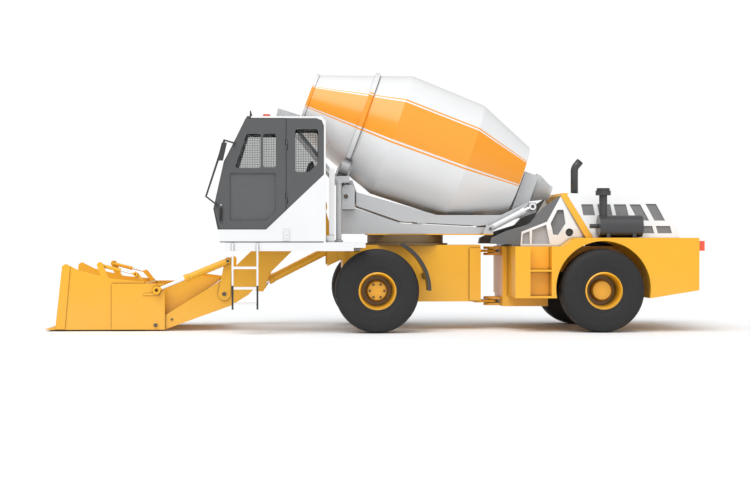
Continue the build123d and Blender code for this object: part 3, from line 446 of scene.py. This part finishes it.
guard_wire = sprayed("guard_wire", (0.020, 0.020, 0.021, 1), 0.45, dust=0.0)
wire = 2.0
wire_pitch = 32.0
first_wire = 14
guard_y = -1408
for pane, (body, outline) in GUARD_PANES.items():
    xs = np.arange(min(p[0] for p in outline) + first_wire, max(p[0] for p in outline), wire_pitch)
    zs = np.arange(min(p[1] for p in outline) + first_wire, max(p[1] for p in outline), wire_pitch)
    z_low, z_high = chord(outline, xs, False)
    x_low, x_high = chord(outline, zs, True)
    uprights_low = np.stack([xs - wire, np.full_like(xs, guard_y), z_low], axis=1)
    uprights_high = np.stack([xs + wire, np.full_like(xs, guard_y + 5), z_high], axis=1)
    levels_low = np.stack([x_low, np.full_like(zs, guard_y + 1), zs - wire], axis=1)
    levels_high = np.stack([x_high, np.full_like(zs, guard_y + 4), zs + wire], axis=1)
    guard = boxes(f"window_guard_{pane}", np.vstack([uprights_low, levels_low]),
                  np.vstack([uprights_high, levels_high]))
    fit(guard, body, guard_wire, smooth=False)

# Cab seal: a black rubber strip pressed into the joint along the foot of the tub, where it sits on the deck.
# It stands a few millimetres out of the sheet.
seal = boxes("cab_seal", (-2120, -1443, 1238), (-735, -1432, 1249))
fit(seal, "chassis_front", guard_wire, smooth=False)

# Tub latch: a small pressed plate with two raised bars, screwed on low down beside the door.
# It is sprayed white with the tub.
latch = boxes("tub_latch", [(-1272, -1447, 1262), (-1262, -1452, 1290), (-1262, -1452, 1350)],
              [(-1187, -1438, 1412), (-1197, -1446, 1325), (-1197, -1446, 1385)])
fit(latch, "chassis_front", white_enamel, smooth=False)

# Driver's seat and steering wheel: a padded cushion and back on the pedestal, and a rubber-rimmed wheel.
# The cushion is foam under woven cloth, drawn down in two sewn channels.
CHANNEL_DEPTH = 8
CHANNEL_WIDTH = 9
SEAT_Y = -1065


def cloth(name, colour):
    """Woven seat cloth: fine ribs in the bump and a soft sheen."""
    material = bpy.data.materials.new(name)
    material.use_nodes = True
    nodes = material.node_tree.nodes
    links = material.node_tree.links
    shader = nodes["Principled BSDF"]
    shader.inputs["Base Color"].default_value = colour
    shader.inputs["Roughness"].default_value = 0.9
    shader.inputs["Sheen Weight"].default_value = 0.2
    coords = nodes.new("ShaderNodeTexCoord")
    weave = nodes.new("ShaderNodeTexWave")
    weave.inputs["Scale"].default_value = 90
    links.new(coords.outputs["Object"], weave.inputs["Vector"])
    bump = nodes.new("ShaderNodeBump")
    bump.inputs["Strength"].default_value = 0.3
    bump.inputs["Distance"].default_value = 0.002
    links.new(weave.outputs["Fac"], bump.inputs["Height"])
    links.new(bump.outputs["Normal"], shader.inputs["Normal"])
    return material


def cushion_pad(name, middle, half, tip, channels):
    """Sewn pad: its height falls as ((1 - x^4)(1 - y^4))^0.35 to a seam all round.

    The sides are drawn in between the corners, and each sewn channel sinks into the upper face as a Gaussian.
    """
    t = np.linspace(0, 2 * np.pi, 193)[:-1][:, None]
    x = np.sign(np.cos(t)) * np.abs(np.cos(t)) ** 0.7
    y = np.sin(np.linspace(-np.pi / 2, np.pi / 2, 65))[None, :]
    height = half[2] * np.clip((1 - x ** 4) * (1 - y ** 4), 0, 1) ** 0.35 * np.sign(np.sin(t))
    across_x = half[0] * x * (1 - 0.05 * (1 - y ** 4) * np.abs(x) ** 3)
    across_y = half[1] * y * (1 - 0.05 * (1 - x ** 4) * np.abs(y) ** 3)
    for channel in channels:
        height = height - CHANNEL_DEPTH * np.exp(-((across_x - channel) / CHANNEL_WIDTH) ** 2) * (height > 20)
    turned_x = middle[0] + across_x * math.cos(tip) + height * math.sin(tip)
    turned_z = middle[2] - across_x * math.sin(tip) + height * math.cos(tip)
    points = np.stack([turned_x, middle[1] + across_y, turned_z], axis=-1)
    return surface(name, (points + ROW_SHIFT) / 1000, True, False)


seat_cloth = cloth("seat_cloth", (0.035, 0.036, 0.040, 1))
cushion = cushion_pad("seat_cushion", (-1190, SEAT_Y, 1680), (228, 225, 66), 0.03, (-80, 80))
fit(cushion, "chassis_front", seat_cloth)
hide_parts("cab_seat")
backrest = cushion_pad("seat_back", (-930, SEAT_Y, 2010), (325, 225, 62), 0.12 - math.pi / 2, (-110, 110))
fit(backrest, "chassis_front", seat_cloth)
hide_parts("cab_seat")
dress(seat_cloth, "cab_seat")
console_plastic = sprayed("console_plastic", (0.120, 0.121, 0.126, 1), 0.55, dust=0.0, coat=0.0)
dress(console_plastic, "cab_console")
wheel_tip = math.radians(35)
round_u = np.linspace(0, 2 * np.pi, 49)[:-1][:, None]
round_v = np.linspace(0, 2 * np.pi, 13)[:-1][None, :]
wheel_middle = (-1800, 2010)
wheel_r = 190
grip_r = 15
rim_x = (wheel_r + grip_r * np.cos(round_v)) * np.cos(round_u)
rim_y = (wheel_r + grip_r * np.cos(round_v)) * np.sin(round_u)
rim_z = grip_r * np.sin(round_v) + 0 * round_u
tipped_x = rim_x * math.cos(wheel_tip) + rim_z * math.sin(wheel_tip)
tipped_z = rim_x * math.sin(wheel_tip) + rim_z * math.cos(wheel_tip)
wheel_points = np.stack([wheel_middle[0] + tipped_x, SEAT_Y + rim_y, wheel_middle[1] + tipped_z], axis=-1)
steering_wheel = surface("steering_wheel", (wheel_points + ROW_SHIFT) / 1000, True, True)
fit(steering_wheel, "chassis_front", console_plastic)

# Door handle: a moulded black rubber grip on the door's front edge.
# A bright steel lock button sits above it.


def grip(name, middle, half, tip, power=0.45):
    """Rounded grip: a superellipsoid of three half lengths, turned about Y by a tip angle."""
    v = np.linspace(-np.pi / 2, np.pi / 2, 33)[:, None]
    u = np.linspace(-np.pi, np.pi, 65)[:-1][None, :]

    def soft(value):
        return np.sign(value) * np.abs(value) ** power

    x = half[0] * soft(np.cos(v)) * soft(np.cos(u))
    y = half[1] * soft(np.cos(v)) * soft(np.sin(u))
    z = half[2] * soft(np.sin(v)) + 0 * u
    turned_x = middle[0] + x * math.cos(tip) + z * math.sin(tip)
    turned_z = middle[2] - x * math.sin(tip) + z * math.cos(tip)
    points = (np.stack([turned_x, middle[1] + y, turned_z], axis=-1) + ROW_SHIFT) / 1000
    return surface(name, points, False, True)


handle = grip("door_handle", (-2102, -1458, 1612), (15, 9, 92), 0.04)
fit(handle, "door", tyre_rubber)


def cap(name, center, y_face, out, radius, thick):
    """Pin head: a disc with a chamfered rim, revolved about a line across the machine."""
    ring = np.array([0.0, 1.0, 1.0, 0.86, 0.0]) * radius
    lift = np.array([-2.0, -2.0, 0.6 * thick, thick, thick]) * out
    around = np.linspace(0, 2 * np.pi, 33)[:-1]
    points = np.stack([center[0] + ring[:, None] * np.cos(around), y_face + lift[:, None] + 0 * around,
                       center[1] + ring[:, None] * np.sin(around)], axis=-1)
    return surface(name, (points + ROW_SHIFT) / 1000, False, True)


button_steel = sprayed("button_steel", (0.55, 0.55, 0.56, 1), 0.25, dust=0.0)
lock_button = cap("lock_button", (-2103, 1738), -1440, -1, 12, 6)
fit(lock_button, "door", button_steel, smooth=False)

# Roof fittings: a red flashing lamp bolted on the roof and a small black aerial ahead of it.
# The lamps at the tail have the same moulded lens.


def lens(name, colour):
    """Moulded lamp lens: coloured plastic under a clear glossy coat."""
    material = bpy.data.materials.new(name)
    material.use_nodes = True
    shader = material.node_tree.nodes["Principled BSDF"]
    shader.inputs["Base Color"].default_value = colour
    shader.inputs["Roughness"].default_value = 0.18
    shader.inputs["Coat Weight"].default_value = 0.6
    return material


red_lens = lens("red_lens", (0.78, 0.075, 0.02, 1))
dress(red_lens, "roof_beacon", "tail_lamps")
dress(black_enamel, "roof_aerial")

# Loader boom, cranks, bucket and chute: cut and welded plate in the same yellow enamel as the chassis.
# The rams have enamelled barrels and hard chromed rods, and each pin has a collar with a dark head.
dress(yellow_enamel, "boom", "bucket", "bucket_gate", "chute")
dress(yellow_enamel, "lift_ram_barrels", "tilt_ram_barrels", "gate_ram_barrels")
dress(white_enamel, "drum_ram_barrels")
# Pins: body, place in the side view, middle line, face from the middle line, collar radius.
PIN_HEADS = {
    "boom_pivot": ("chassis_front", (-820, 1740), 240, 775, 62),
    "crank_foot": ("loader_boom", (-2104, 516), 240, 797, 48),
    "crank_top": ("loader_boom", (-2050, 978), 240, 896, 34),
    "arm_pin": ("loader_boom", (-2833, 162), 240, 760, 26),
    "bucket_pin": ("loader_bucket", (-3055, 84), 240, 800, 46),
    "cradle_pin": ("slewing_base", (-409, 1877), 0, 560, 52),
    "ram_foot": ("slewing_base", (1621, 1427), 0, 585, 34),
}
COLLAR_T = 7
HEAD_T = 5
HEAD_SHARE = 0.62
pin_steel = sprayed("pin_steel", (0.090, 0.070, 0.045, 1), 0.36, dust=0.0)
for pin, (body, center, middle_y, out_y, radius) in PIN_HEADS.items():
    for hand, out in (("left", -1), ("right", 1)):
        collar = cap(f"pin_collar_{pin}_{hand}", center, middle_y + out * out_y, out, radius, COLLAR_T)
        if middle_y:
            fit(collar, body, yellow_enamel, smooth=False)
        else:
            fit(collar, body, grey_enamel, smooth=False)
        head_y = middle_y + out * (out_y + COLLAR_T)
        head = cap(f"pin_head_{pin}_{hand}", center, head_y, out, HEAD_SHARE * radius, HEAD_T)
        fit(head, body, pin_steel, smooth=False)


def chromed(name, eye):
    """Hard chromed rod: bright metal with a very fine drawn grain, enamelled yellow round its end eye."""
    material = bpy.data.materials.new(name)
    material.use_nodes = True
    nodes = material.node_tree.nodes
    links = material.node_tree.links
    shader = nodes["Principled BSDF"]
    coords = nodes.new("ShaderNodeTexCoord")
    grain = nodes.new("ShaderNodeTexNoise")
    grain.inputs["Scale"].default_value = 60
    links.new(coords.outputs["Object"], grain.inputs["Vector"])
    rough = nodes.new("ShaderNodeMapRange")
    rough.inputs["To Min"].default_value = 0.08
    rough.inputs["To Max"].default_value = 0.2
    links.new(grain.outputs["Fac"], rough.inputs["Value"])
    links.new(rough.outputs["Result"], shader.inputs["Roughness"])
    flat = nodes.new("ShaderNodeVectorMath")
    flat.operation = "MULTIPLY"
    flat.inputs[1].default_value = (1, 0, 1)
    links.new(coords.outputs["Object"], flat.inputs[0])
    from_eye = nodes.new("ShaderNodeVectorMath")
    from_eye.operation = "DISTANCE"
    from_eye.inputs[1].default_value = ((eye[0] + ROW_SHIFT[0]) / 1000, 0, eye[1] / 1000)
    links.new(flat.outputs["Vector"], from_eye.inputs[0])
    bare = nodes.new("ShaderNodeMath")
    bare.operation = "GREATER_THAN"
    bare.inputs[1].default_value = eye[2] / 1000
    links.new(from_eye.outputs["Value"], bare.inputs[0])
    colour = nodes.new("ShaderNodeMix")
    colour.data_type = "RGBA"
    colour.inputs["A"].default_value = YELLOW
    colour.inputs["B"].default_value = (0.82, 0.82, 0.84, 1)
    links.new(bare.outputs["Value"], colour.inputs["Factor"])
    links.new(colour.outputs["Result"], shader.inputs["Base Color"])
    links.new(bare.outputs["Value"], shader.inputs["Metallic"])
    return material


# Rod eyes: place in the side view and the radius of the enamel round it.
ROD_EYES = {
    "lift_ram_rods": (-1600, 640, 80),
    "tilt_ram_rods": (-3037, 573, 80),
    "gate_ram_rods": (-3344, 792, 48),
    "drum_ram_rods": (2226, 1741, 0),
}
for rods, eye in ROD_EYES.items():
    dress(chromed(f"chrome_{rods}", eye), rods)

# Slewing base, cradle and drive: welded beams under the drum in light grey, on a yellow slewing plate.
# The support rollers are bare turned steel.
dress(yellow_enamel, "slew_plate")
dress(grey_enamel, "drum_base", "charge_hopper", "cradle", "drum_drive")


def turned_steel():
    """Bare machined steel with a soft broken gloss."""
    material = bpy.data.materials.new("turned_steel")
    material.use_nodes = True
    nodes = material.node_tree.nodes
    links = material.node_tree.links
    shader = nodes["Principled BSDF"]
    shader.inputs["Base Color"].default_value = (0.42, 0.42, 0.43, 1)
    shader.inputs["Metallic"].default_value = 1.0
    coords = nodes.new("ShaderNodeTexCoord")
    grain = nodes.new("ShaderNodeTexNoise")
    grain.inputs["Scale"].default_value = 30
    links.new(coords.outputs["Object"], grain.inputs["Vector"])
    rough = nodes.new("ShaderNodeMapRange")
    rough.inputs["To Min"].default_value = 0.3
    rough.inputs["To Max"].default_value = 0.5
    links.new(grain.outputs["Fac"], rough.inputs["Value"])
    links.new(rough.outputs["Result"], shader.inputs["Roughness"])
    return material


dress(turned_steel(), "drum_rollers")

# Drum: rolled and welded cones in white enamel with a lengthwise orange stripe on each side.
# A fine orange line runs outside each edge of the stripe, and the stripe stops short of the tail plate.
ORANGE = (0.900, 0.330, 0.015, 1)
drum_joint = next(joint for joint in frame["record"]["behaviour"]["joints"] if joint["name"] == "drum_spin")
drum_tail = np.array(drum_joint["pos_m"])
drum_way = np.array(drum_joint["axis"])
drum_up = np.array([drum_way[2], 0.0, -drum_way[0]])


def striped_enamel():
    """White enamel with three orange bands by the angle round the drum's axis, and bare steel inside."""
    material = sprayed("drum_enamel", (0.80, 0.805, 0.81, 1), 0.24, dust=0.0)
    nodes = material.node_tree.nodes
    links = material.node_tree.links
    coords = nodes.new("ShaderNodeTexCoord")
    from_tail = nodes.new("ShaderNodeVectorMath")
    from_tail.operation = "SUBTRACT"
    from_tail.inputs[1].default_value = drum_tail.tolist()
    links.new(coords.outputs["Object"], from_tail.inputs[0])
    rise = nodes.new("ShaderNodeVectorMath")
    rise.operation = "DOT_PRODUCT"
    rise.inputs[1].default_value = drum_up.tolist()
    links.new(from_tail.outputs["Vector"], rise.inputs[0])
    along = nodes.new("ShaderNodeVectorMath")
    along.operation = "DOT_PRODUCT"
    along.inputs[1].default_value = drum_way.tolist()
    links.new(from_tail.outputs["Vector"], along.inputs[0])
    split = nodes.new("ShaderNodeSeparateXYZ")
    links.new(from_tail.outputs["Vector"], split.inputs["Vector"])
    out = nodes.new("ShaderNodeMath")
    out.operation = "ABSOLUTE"
    links.new(split.outputs["Y"], out.inputs[0])
    angle = nodes.new("ShaderNodeMath")
    angle.operation = "ARCTAN2"
    links.new(rise.outputs["Value"], angle.inputs[0])
    links.new(out.outputs["Value"], angle.inputs[1])
    mask = None
    for low, high in ((-8.0, 29.0), (-11.2, -9.6), (30.6, 32.2)):
        band = nodes.new("ShaderNodeMath")
        band.operation = "COMPARE"
        band.inputs[1].default_value = math.radians((low + high) / 2)
        band.inputs[2].default_value = math.radians((high - low) / 2)
        links.new(angle.outputs["Value"], band.inputs[0])
        if mask is None:
            mask = band
        else:
            joined = nodes.new("ShaderNodeMath")
            joined.operation = "MAXIMUM"
            links.new(mask.outputs["Value"], joined.inputs[0])
            links.new(band.outputs["Value"], joined.inputs[1])
            mask = joined
    ahead = nodes.new("ShaderNodeMath")
    ahead.operation = "GREATER_THAN"
    ahead.inputs[1].default_value = 0.005
    links.new(along.outputs["Value"], ahead.inputs[0])
    painted = nodes.new("ShaderNodeMath")
    painted.operation = "MULTIPLY"
    links.new(mask.outputs["Value"], painted.inputs[0])
    links.new(ahead.outputs["Value"], painted.inputs[1])
    mix = nodes.new("ShaderNodeMix")
    mix.data_type = "RGBA"
    mix.inputs["B"].default_value = ORANGE
    shader = nodes["Principled BSDF"]
    links.new(painted.outputs["Value"], mix.inputs["Factor"])
    links.new(shader.inputs["Base Color"].links[0].from_socket, mix.inputs["A"])
    axial = nodes.new("ShaderNodeVectorMath")
    axial.operation = "SCALE"
    axial.inputs[0].default_value = drum_way.tolist()
    links.new(along.outputs["Value"], axial.inputs["Scale"])
    radial = nodes.new("ShaderNodeVectorMath")
    radial.operation = "SUBTRACT"
    links.new(from_tail.outputs["Vector"], radial.inputs[0])
    links.new(axial.outputs["Vector"], radial.inputs[1])
    facing = nodes.new("ShaderNodeVectorMath")
    facing.operation = "DOT_PRODUCT"
    links.new(radial.outputs["Vector"], facing.inputs[0])
    links.new(coords.outputs["Normal"], facing.inputs[1])
    inside = nodes.new("ShaderNodeMath")
    inside.operation = "LESS_THAN"
    inside.inputs[1].default_value = -0.05
    links.new(facing.outputs["Value"], inside.inputs[0])
    lined = nodes.new("ShaderNodeMix")
    lined.data_type = "RGBA"
    lined.inputs["B"].default_value = (0.17, 0.165, 0.155, 1)
    links.new(inside.outputs["Value"], lined.inputs["Factor"])
    links.new(mix.outputs["Result"], lined.inputs["A"])
    links.new(lined.outputs["Result"], shader.inputs["Base Color"])
    return material


dress(striped_enamel(), "drum")

# Rear chassis: hitch box and rails, fender body, hood with its slanted band and nose, lamps and air cleaner.
# The body is yellow, the hood white, the nose cover dark grey, and the air cleaner charcoal.
# Sheets of perforated steel stand behind the hood's and the nose's windows; the darker ones are painted with
# the shade of the bay behind them.
charcoal_enamel = sprayed("charcoal_enamel", (0.040, 0.040, 0.043, 1), 0.36, dust=0.0)
dress(yellow_enamel, "rear_frame", "rear_body", "hood_band")
dress(white_enamel, "hood", "hood_nose")
dress(sprayed("cover_enamel", (0.115, 0.116, 0.120, 1), 0.40, dust=0.0), "nose_cover")
dress(charcoal_enamel, "air_cleaner", "exhaust")
# Windows: outline in the side view and the cover that it is cut in.
SCREENS = {
    "hood_1": ([(2880, 1768), (3045, 1768), (3065, 1614), (2900, 1614)], "hood"),
    "hood_2": ([(3105, 1768), (3290, 1768), (3310, 1614), (3125, 1614)], "hood"),
    "hood_3": ([(3338, 1768), (3513, 1768), (3540, 1596), (3365, 1596)], "hood"),
    "hood_4": ([(3560, 1768), (3715, 1768), (3820, 1540), (3665, 1540)], "hood"),
    "hood_5": ([(3790, 1775), (3940, 1775), (4045, 1540), (3895, 1540)], "hood"),
    "hood_6": ([(3682, 1464), (3857, 1464), (3876, 1362), (3701, 1362)], "hood"),
    "hood_7": ([(3908, 1464), (4108, 1464), (4127, 1362), (3927, 1362)], "hood"),
    "nose_1": ([(2046, 1355), (2140, 1392), (2145, 1215), (2036, 1215)], "nose"),
    "nose_2": ([(2178, 1408), (2376, 1482), (2425, 1215), (2172, 1215)], "nose"),
    "nose_3": ([(2545, 1690), (2630, 1690), (2650, 1500), (2543, 1340), (2472, 1345), (2440, 1501)], "nose"),
}
SCREEN_DEPTH = {"hood": 16, "nose": 45}
SHEET_T = 4
HOOD_HALF, HOOD_INSET, HOOD_FOOT, HOOD_RISE = 900, 250, 1299, 641
NOSE_HALF, NOSE_INSET, NOSE_SHOULDER, NOSE_RISE = 800, 140, 1420, 480


def side_face(kind, z):
    """Half width of the hood or nose at a height: sloping sides, the nose upright to its shoulder."""
    if kind == "hood":
        return HOOD_HALF - HOOD_INSET * (z - HOOD_FOOT) / HOOD_RISE
    return NOSE_HALF - NOSE_INSET * np.maximum(z - NOSE_SHOULDER, 0) / NOSE_RISE


def perforated(name, shade):
    """Perforated sheet: a fine checker of holes, painted darker as the shade seen through them, darkens the
    enamel and sinks into it.
    """
    material = bpy.data.materials.new(name)
    material.use_nodes = True
    nodes = material.node_tree.nodes
    links = material.node_tree.links
    shader = nodes["Principled BSDF"]
    shader.inputs["Roughness"].default_value = 0.5
    coords = nodes.new("ShaderNodeTexCoord")
    holes = nodes.new("ShaderNodeTexChecker")
    holes.inputs["Scale"].default_value = 70
    links.new(coords.outputs["Object"], holes.inputs["Vector"])
    colour = nodes.new("ShaderNodeMix")
    colour.data_type = "RGBA"
    colour.inputs["A"].default_value = (0.55 * shade, 0.55 * shade, 0.56 * shade, 1)
    colour.inputs["B"].default_value = (shade, shade, 1.02 * shade, 1)
    links.new(holes.outputs["Fac"], colour.inputs["Factor"])
    links.new(colour.outputs["Result"], shader.inputs["Base Color"])
    bump = nodes.new("ShaderNodeBump")
    bump.inputs["Strength"].default_value = 0.5
    bump.inputs["Distance"].default_value = 0.003
    links.new(holes.outputs["Fac"], bump.inputs["Height"])
    links.new(bump.outputs["Normal"], shader.inputs["Normal"])
    return material


pale_sheet = perforated("pale_sheet", 0.55)
# Painted shade: this darker copy of the sheet stands for the shaded bay behind the windows.
bay_shade_sheet = perforated("bay_shade_sheet", 0.24)
for window, (outline, kind) in SCREENS.items():
    corner = np.array(outline, float)
    out_y = side_face(kind, corner[:, 1]) - SCREEN_DEPTH[kind]
    for hand, out in (("left", -1), ("right", 1)):
        middle = corner.mean(axis=0)
        ones = np.ones(len(corner))
        rings = [np.stack([middle[0] * ones, out * (out_y.mean() - depth) * ones, middle[1] * ones], axis=-1)
                 for depth in (SHEET_T, 0)]
        rims = [np.stack([corner[:, 0], out * (out_y - depth), corner[:, 1]], axis=-1)
                for depth in (SHEET_T, 0)]
        points = np.stack([rings[0], rims[0], rims[1], rings[1]])
        sheet = surface(f"screen_{window}_{hand}", (points + ROW_SHIFT) / 1000, False, True)
        # All windows but the first two nose windows get the darker sheet with the painted shade of the bay.
        finish = pale_sheet if window in ("nose_1", "nose_2") else bay_shade_sheet
        fit(sheet, "chassis_rear", finish, smooth=False)
lamp_place = (2700, 1375)
lamp_face = 735
lamp_r = 52
lamp_t = 14
for hand, out in (("left", -1), ("right", 1)):
    lamp_disc = cap(f"nose_lamp_{hand}", lamp_place, out * lamp_face, out, lamp_r, lamp_t)
    fit(lamp_disc, "chassis_rear", charcoal_enamel, smooth=False)


def cast_iron():
    """Rough grey casting."""
    material = bpy.data.materials.new("engine_casting")
    material.use_nodes = True
    nodes = material.node_tree.nodes
    links = material.node_tree.links
    shader = nodes["Principled BSDF"]
    shader.inputs["Base Color"].default_value = (0.10, 0.10, 0.105, 1)
    shader.inputs["Metallic"].default_value = 0.4
    shader.inputs["Roughness"].default_value = 0.6
    coords = nodes.new("ShaderNodeTexCoord")
    pits = nodes.new("ShaderNodeTexNoise")
    pits.inputs["Scale"].default_value = 120
    links.new(coords.outputs["Object"], pits.inputs["Vector"])
    bump = nodes.new("ShaderNodeBump")
    bump.inputs["Strength"].default_value = 0.4
    bump.inputs["Distance"].default_value = 0.002
    links.new(pits.outputs["Fac"], bump.inputs["Height"])
    links.new(bump.outputs["Normal"], shader.inputs["Normal"])
    return material


dress(cast_iron(), "engine")

# Exhaust stack: a bent steel pipe in charcoal enamel, standing through the hood with its mouth to the rear.
# The pipe is drawn round one bend and cut square, and its bore is open at the mouth.
STACK_FOOT = (2861, -300, 1924)
STACK_BEND_Z = 2250
STACK_BEND_R = 120
STACK_TURN = math.radians(40)
STACK_MOUTH = 85
STACK_R = 53
STACK_BORE = 46


def bent_pipe(name):
    """Ring carried up a straight line, round an arc and out along its tangent, then back inside the mouth."""
    bend = np.linspace(0, STACK_TURN, 13)
    path_x = np.concatenate([[0, 0], STACK_BEND_R * (1 - np.cos(bend))])
    path_z = np.concatenate([[STACK_FOOT[2], STACK_FOOT[2]], STACK_BEND_Z + STACK_BEND_R * np.sin(bend)])
    lean = np.concatenate([[0, 0], bend])
    radius = np.concatenate([[0, STACK_R], np.full(len(bend), STACK_R)])
    out = np.array([STACK_MOUTH, STACK_MOUTH, 0.0, 0.0])
    path_x = np.concatenate([path_x, path_x[-1] + out * math.sin(STACK_TURN)])
    path_z = np.concatenate([path_z, path_z[-1] + out * math.cos(STACK_TURN)])
    lean = np.concatenate([lean, np.full(4, STACK_TURN)])
    radius = np.concatenate([radius, [STACK_R, STACK_BORE, STACK_BORE, 0]])
    around = np.linspace(0, 2 * np.pi, 49)[:-1][None, :]
    side = radius[:, None] * np.cos(around)
    points = np.stack([STACK_FOOT[0] + path_x[:, None] + side * np.cos(lean)[:, None],
                       STACK_FOOT[1] + radius[:, None] * np.sin(around),
                       path_z[:, None] - side * np.sin(lean)[:, None]], axis=-1)
    return surface(name, (points + ROW_SHIFT) / 1000, False, True)


stack = bent_pipe("exhaust_pipe")
fit(stack, "chassis_rear", charcoal_enamel)
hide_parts("exhaust")

# Studio: a pale floor that runs back under a white sky, lit by a broad high sun and a soft front fill.
# The sky is white to the eye and lights the machine more gently.
floor_u, floor_v = np.meshgrid(np.linspace(-60, 60, 9), np.linspace(-60, 60, 9), indexing="ij")
floor = surface("studio_floor", np.stack([floor_u, floor_v, np.zeros_like(floor_u)], axis=-1), False, False)
floor_white = bpy.data.materials.new("floor_white")
floor_white.use_nodes = True
floor_white.node_tree.nodes["Principled BSDF"].inputs["Base Color"].default_value = (0.93, 0.95, 0.97, 1)
floor_white.node_tree.nodes["Principled BSDF"].inputs["Roughness"].default_value = 0.9
floor.data.materials.append(floor_white)
if floor.data.polygons[0].normal.z < 0:
    floor.data.flip_normals()
world = bpy.data.worlds.new("studio_sky")
bpy.context.scene.world = world
world.use_nodes = True
sky = world.node_tree.nodes["Background"]
sky.inputs["Color"].default_value = (1, 1, 1, 1)
ray = world.node_tree.nodes.new("ShaderNodeLightPath")
seen = world.node_tree.nodes.new("ShaderNodeMapRange")
seen.inputs["To Min"].default_value = 0.53
seen.inputs["To Max"].default_value = 1.02
world.node_tree.links.new(ray.outputs["Is Camera Ray"], seen.inputs["Value"])
world.node_tree.links.new(seen.outputs["Result"], sky.inputs["Strength"])
# Lamps: direction towards the lamp, strength and spread in degrees.
SUNS = {
    "high_sun": ((-0.35, -0.55, 1.0), 1.95, 50),
    "front_fill": ((0.30, -1.0, 0.45), 0.55, 70),
}
for lamp_name, (toward, strength, spread) in SUNS.items():
    lamp = bpy.data.lights.new(lamp_name, "SUN")
    lamp.energy = strength
    lamp.angle = math.radians(spread)
    holder = bpy.data.objects.new(lamp_name, lamp)
    bpy.context.scene.collection.objects.link(holder)
    holder.location = (8 * toward[0], 8 * toward[1], 8 * toward[2])
    level = math.hypot(toward[0], toward[1])
    holder.rotation_euler = (math.atan2(level, toward[2]), 0, math.atan2(toward[0], -toward[1]))

# Camera: a long lens far to the machine's left, about as high as the deck.
# It is turned slightly towards the rear and tipped slightly down.
camera = bpy.data.objects.new("photo_camera", bpy.data.cameras.new("photo_camera"))
camera.data.lens = 71.0
camera.data.sensor_width = 36.0
camera.location = (-1.0215, -21.130, 1.295)
camera.rotation_euler = (math.radians(90 - 0.46), 0, math.radians(-2.9))
bpy.context.scene.collection.objects.link(camera)
bpy.context.scene.camera = camera
bpy.context.scene.view_settings.view_transform = "Standard"
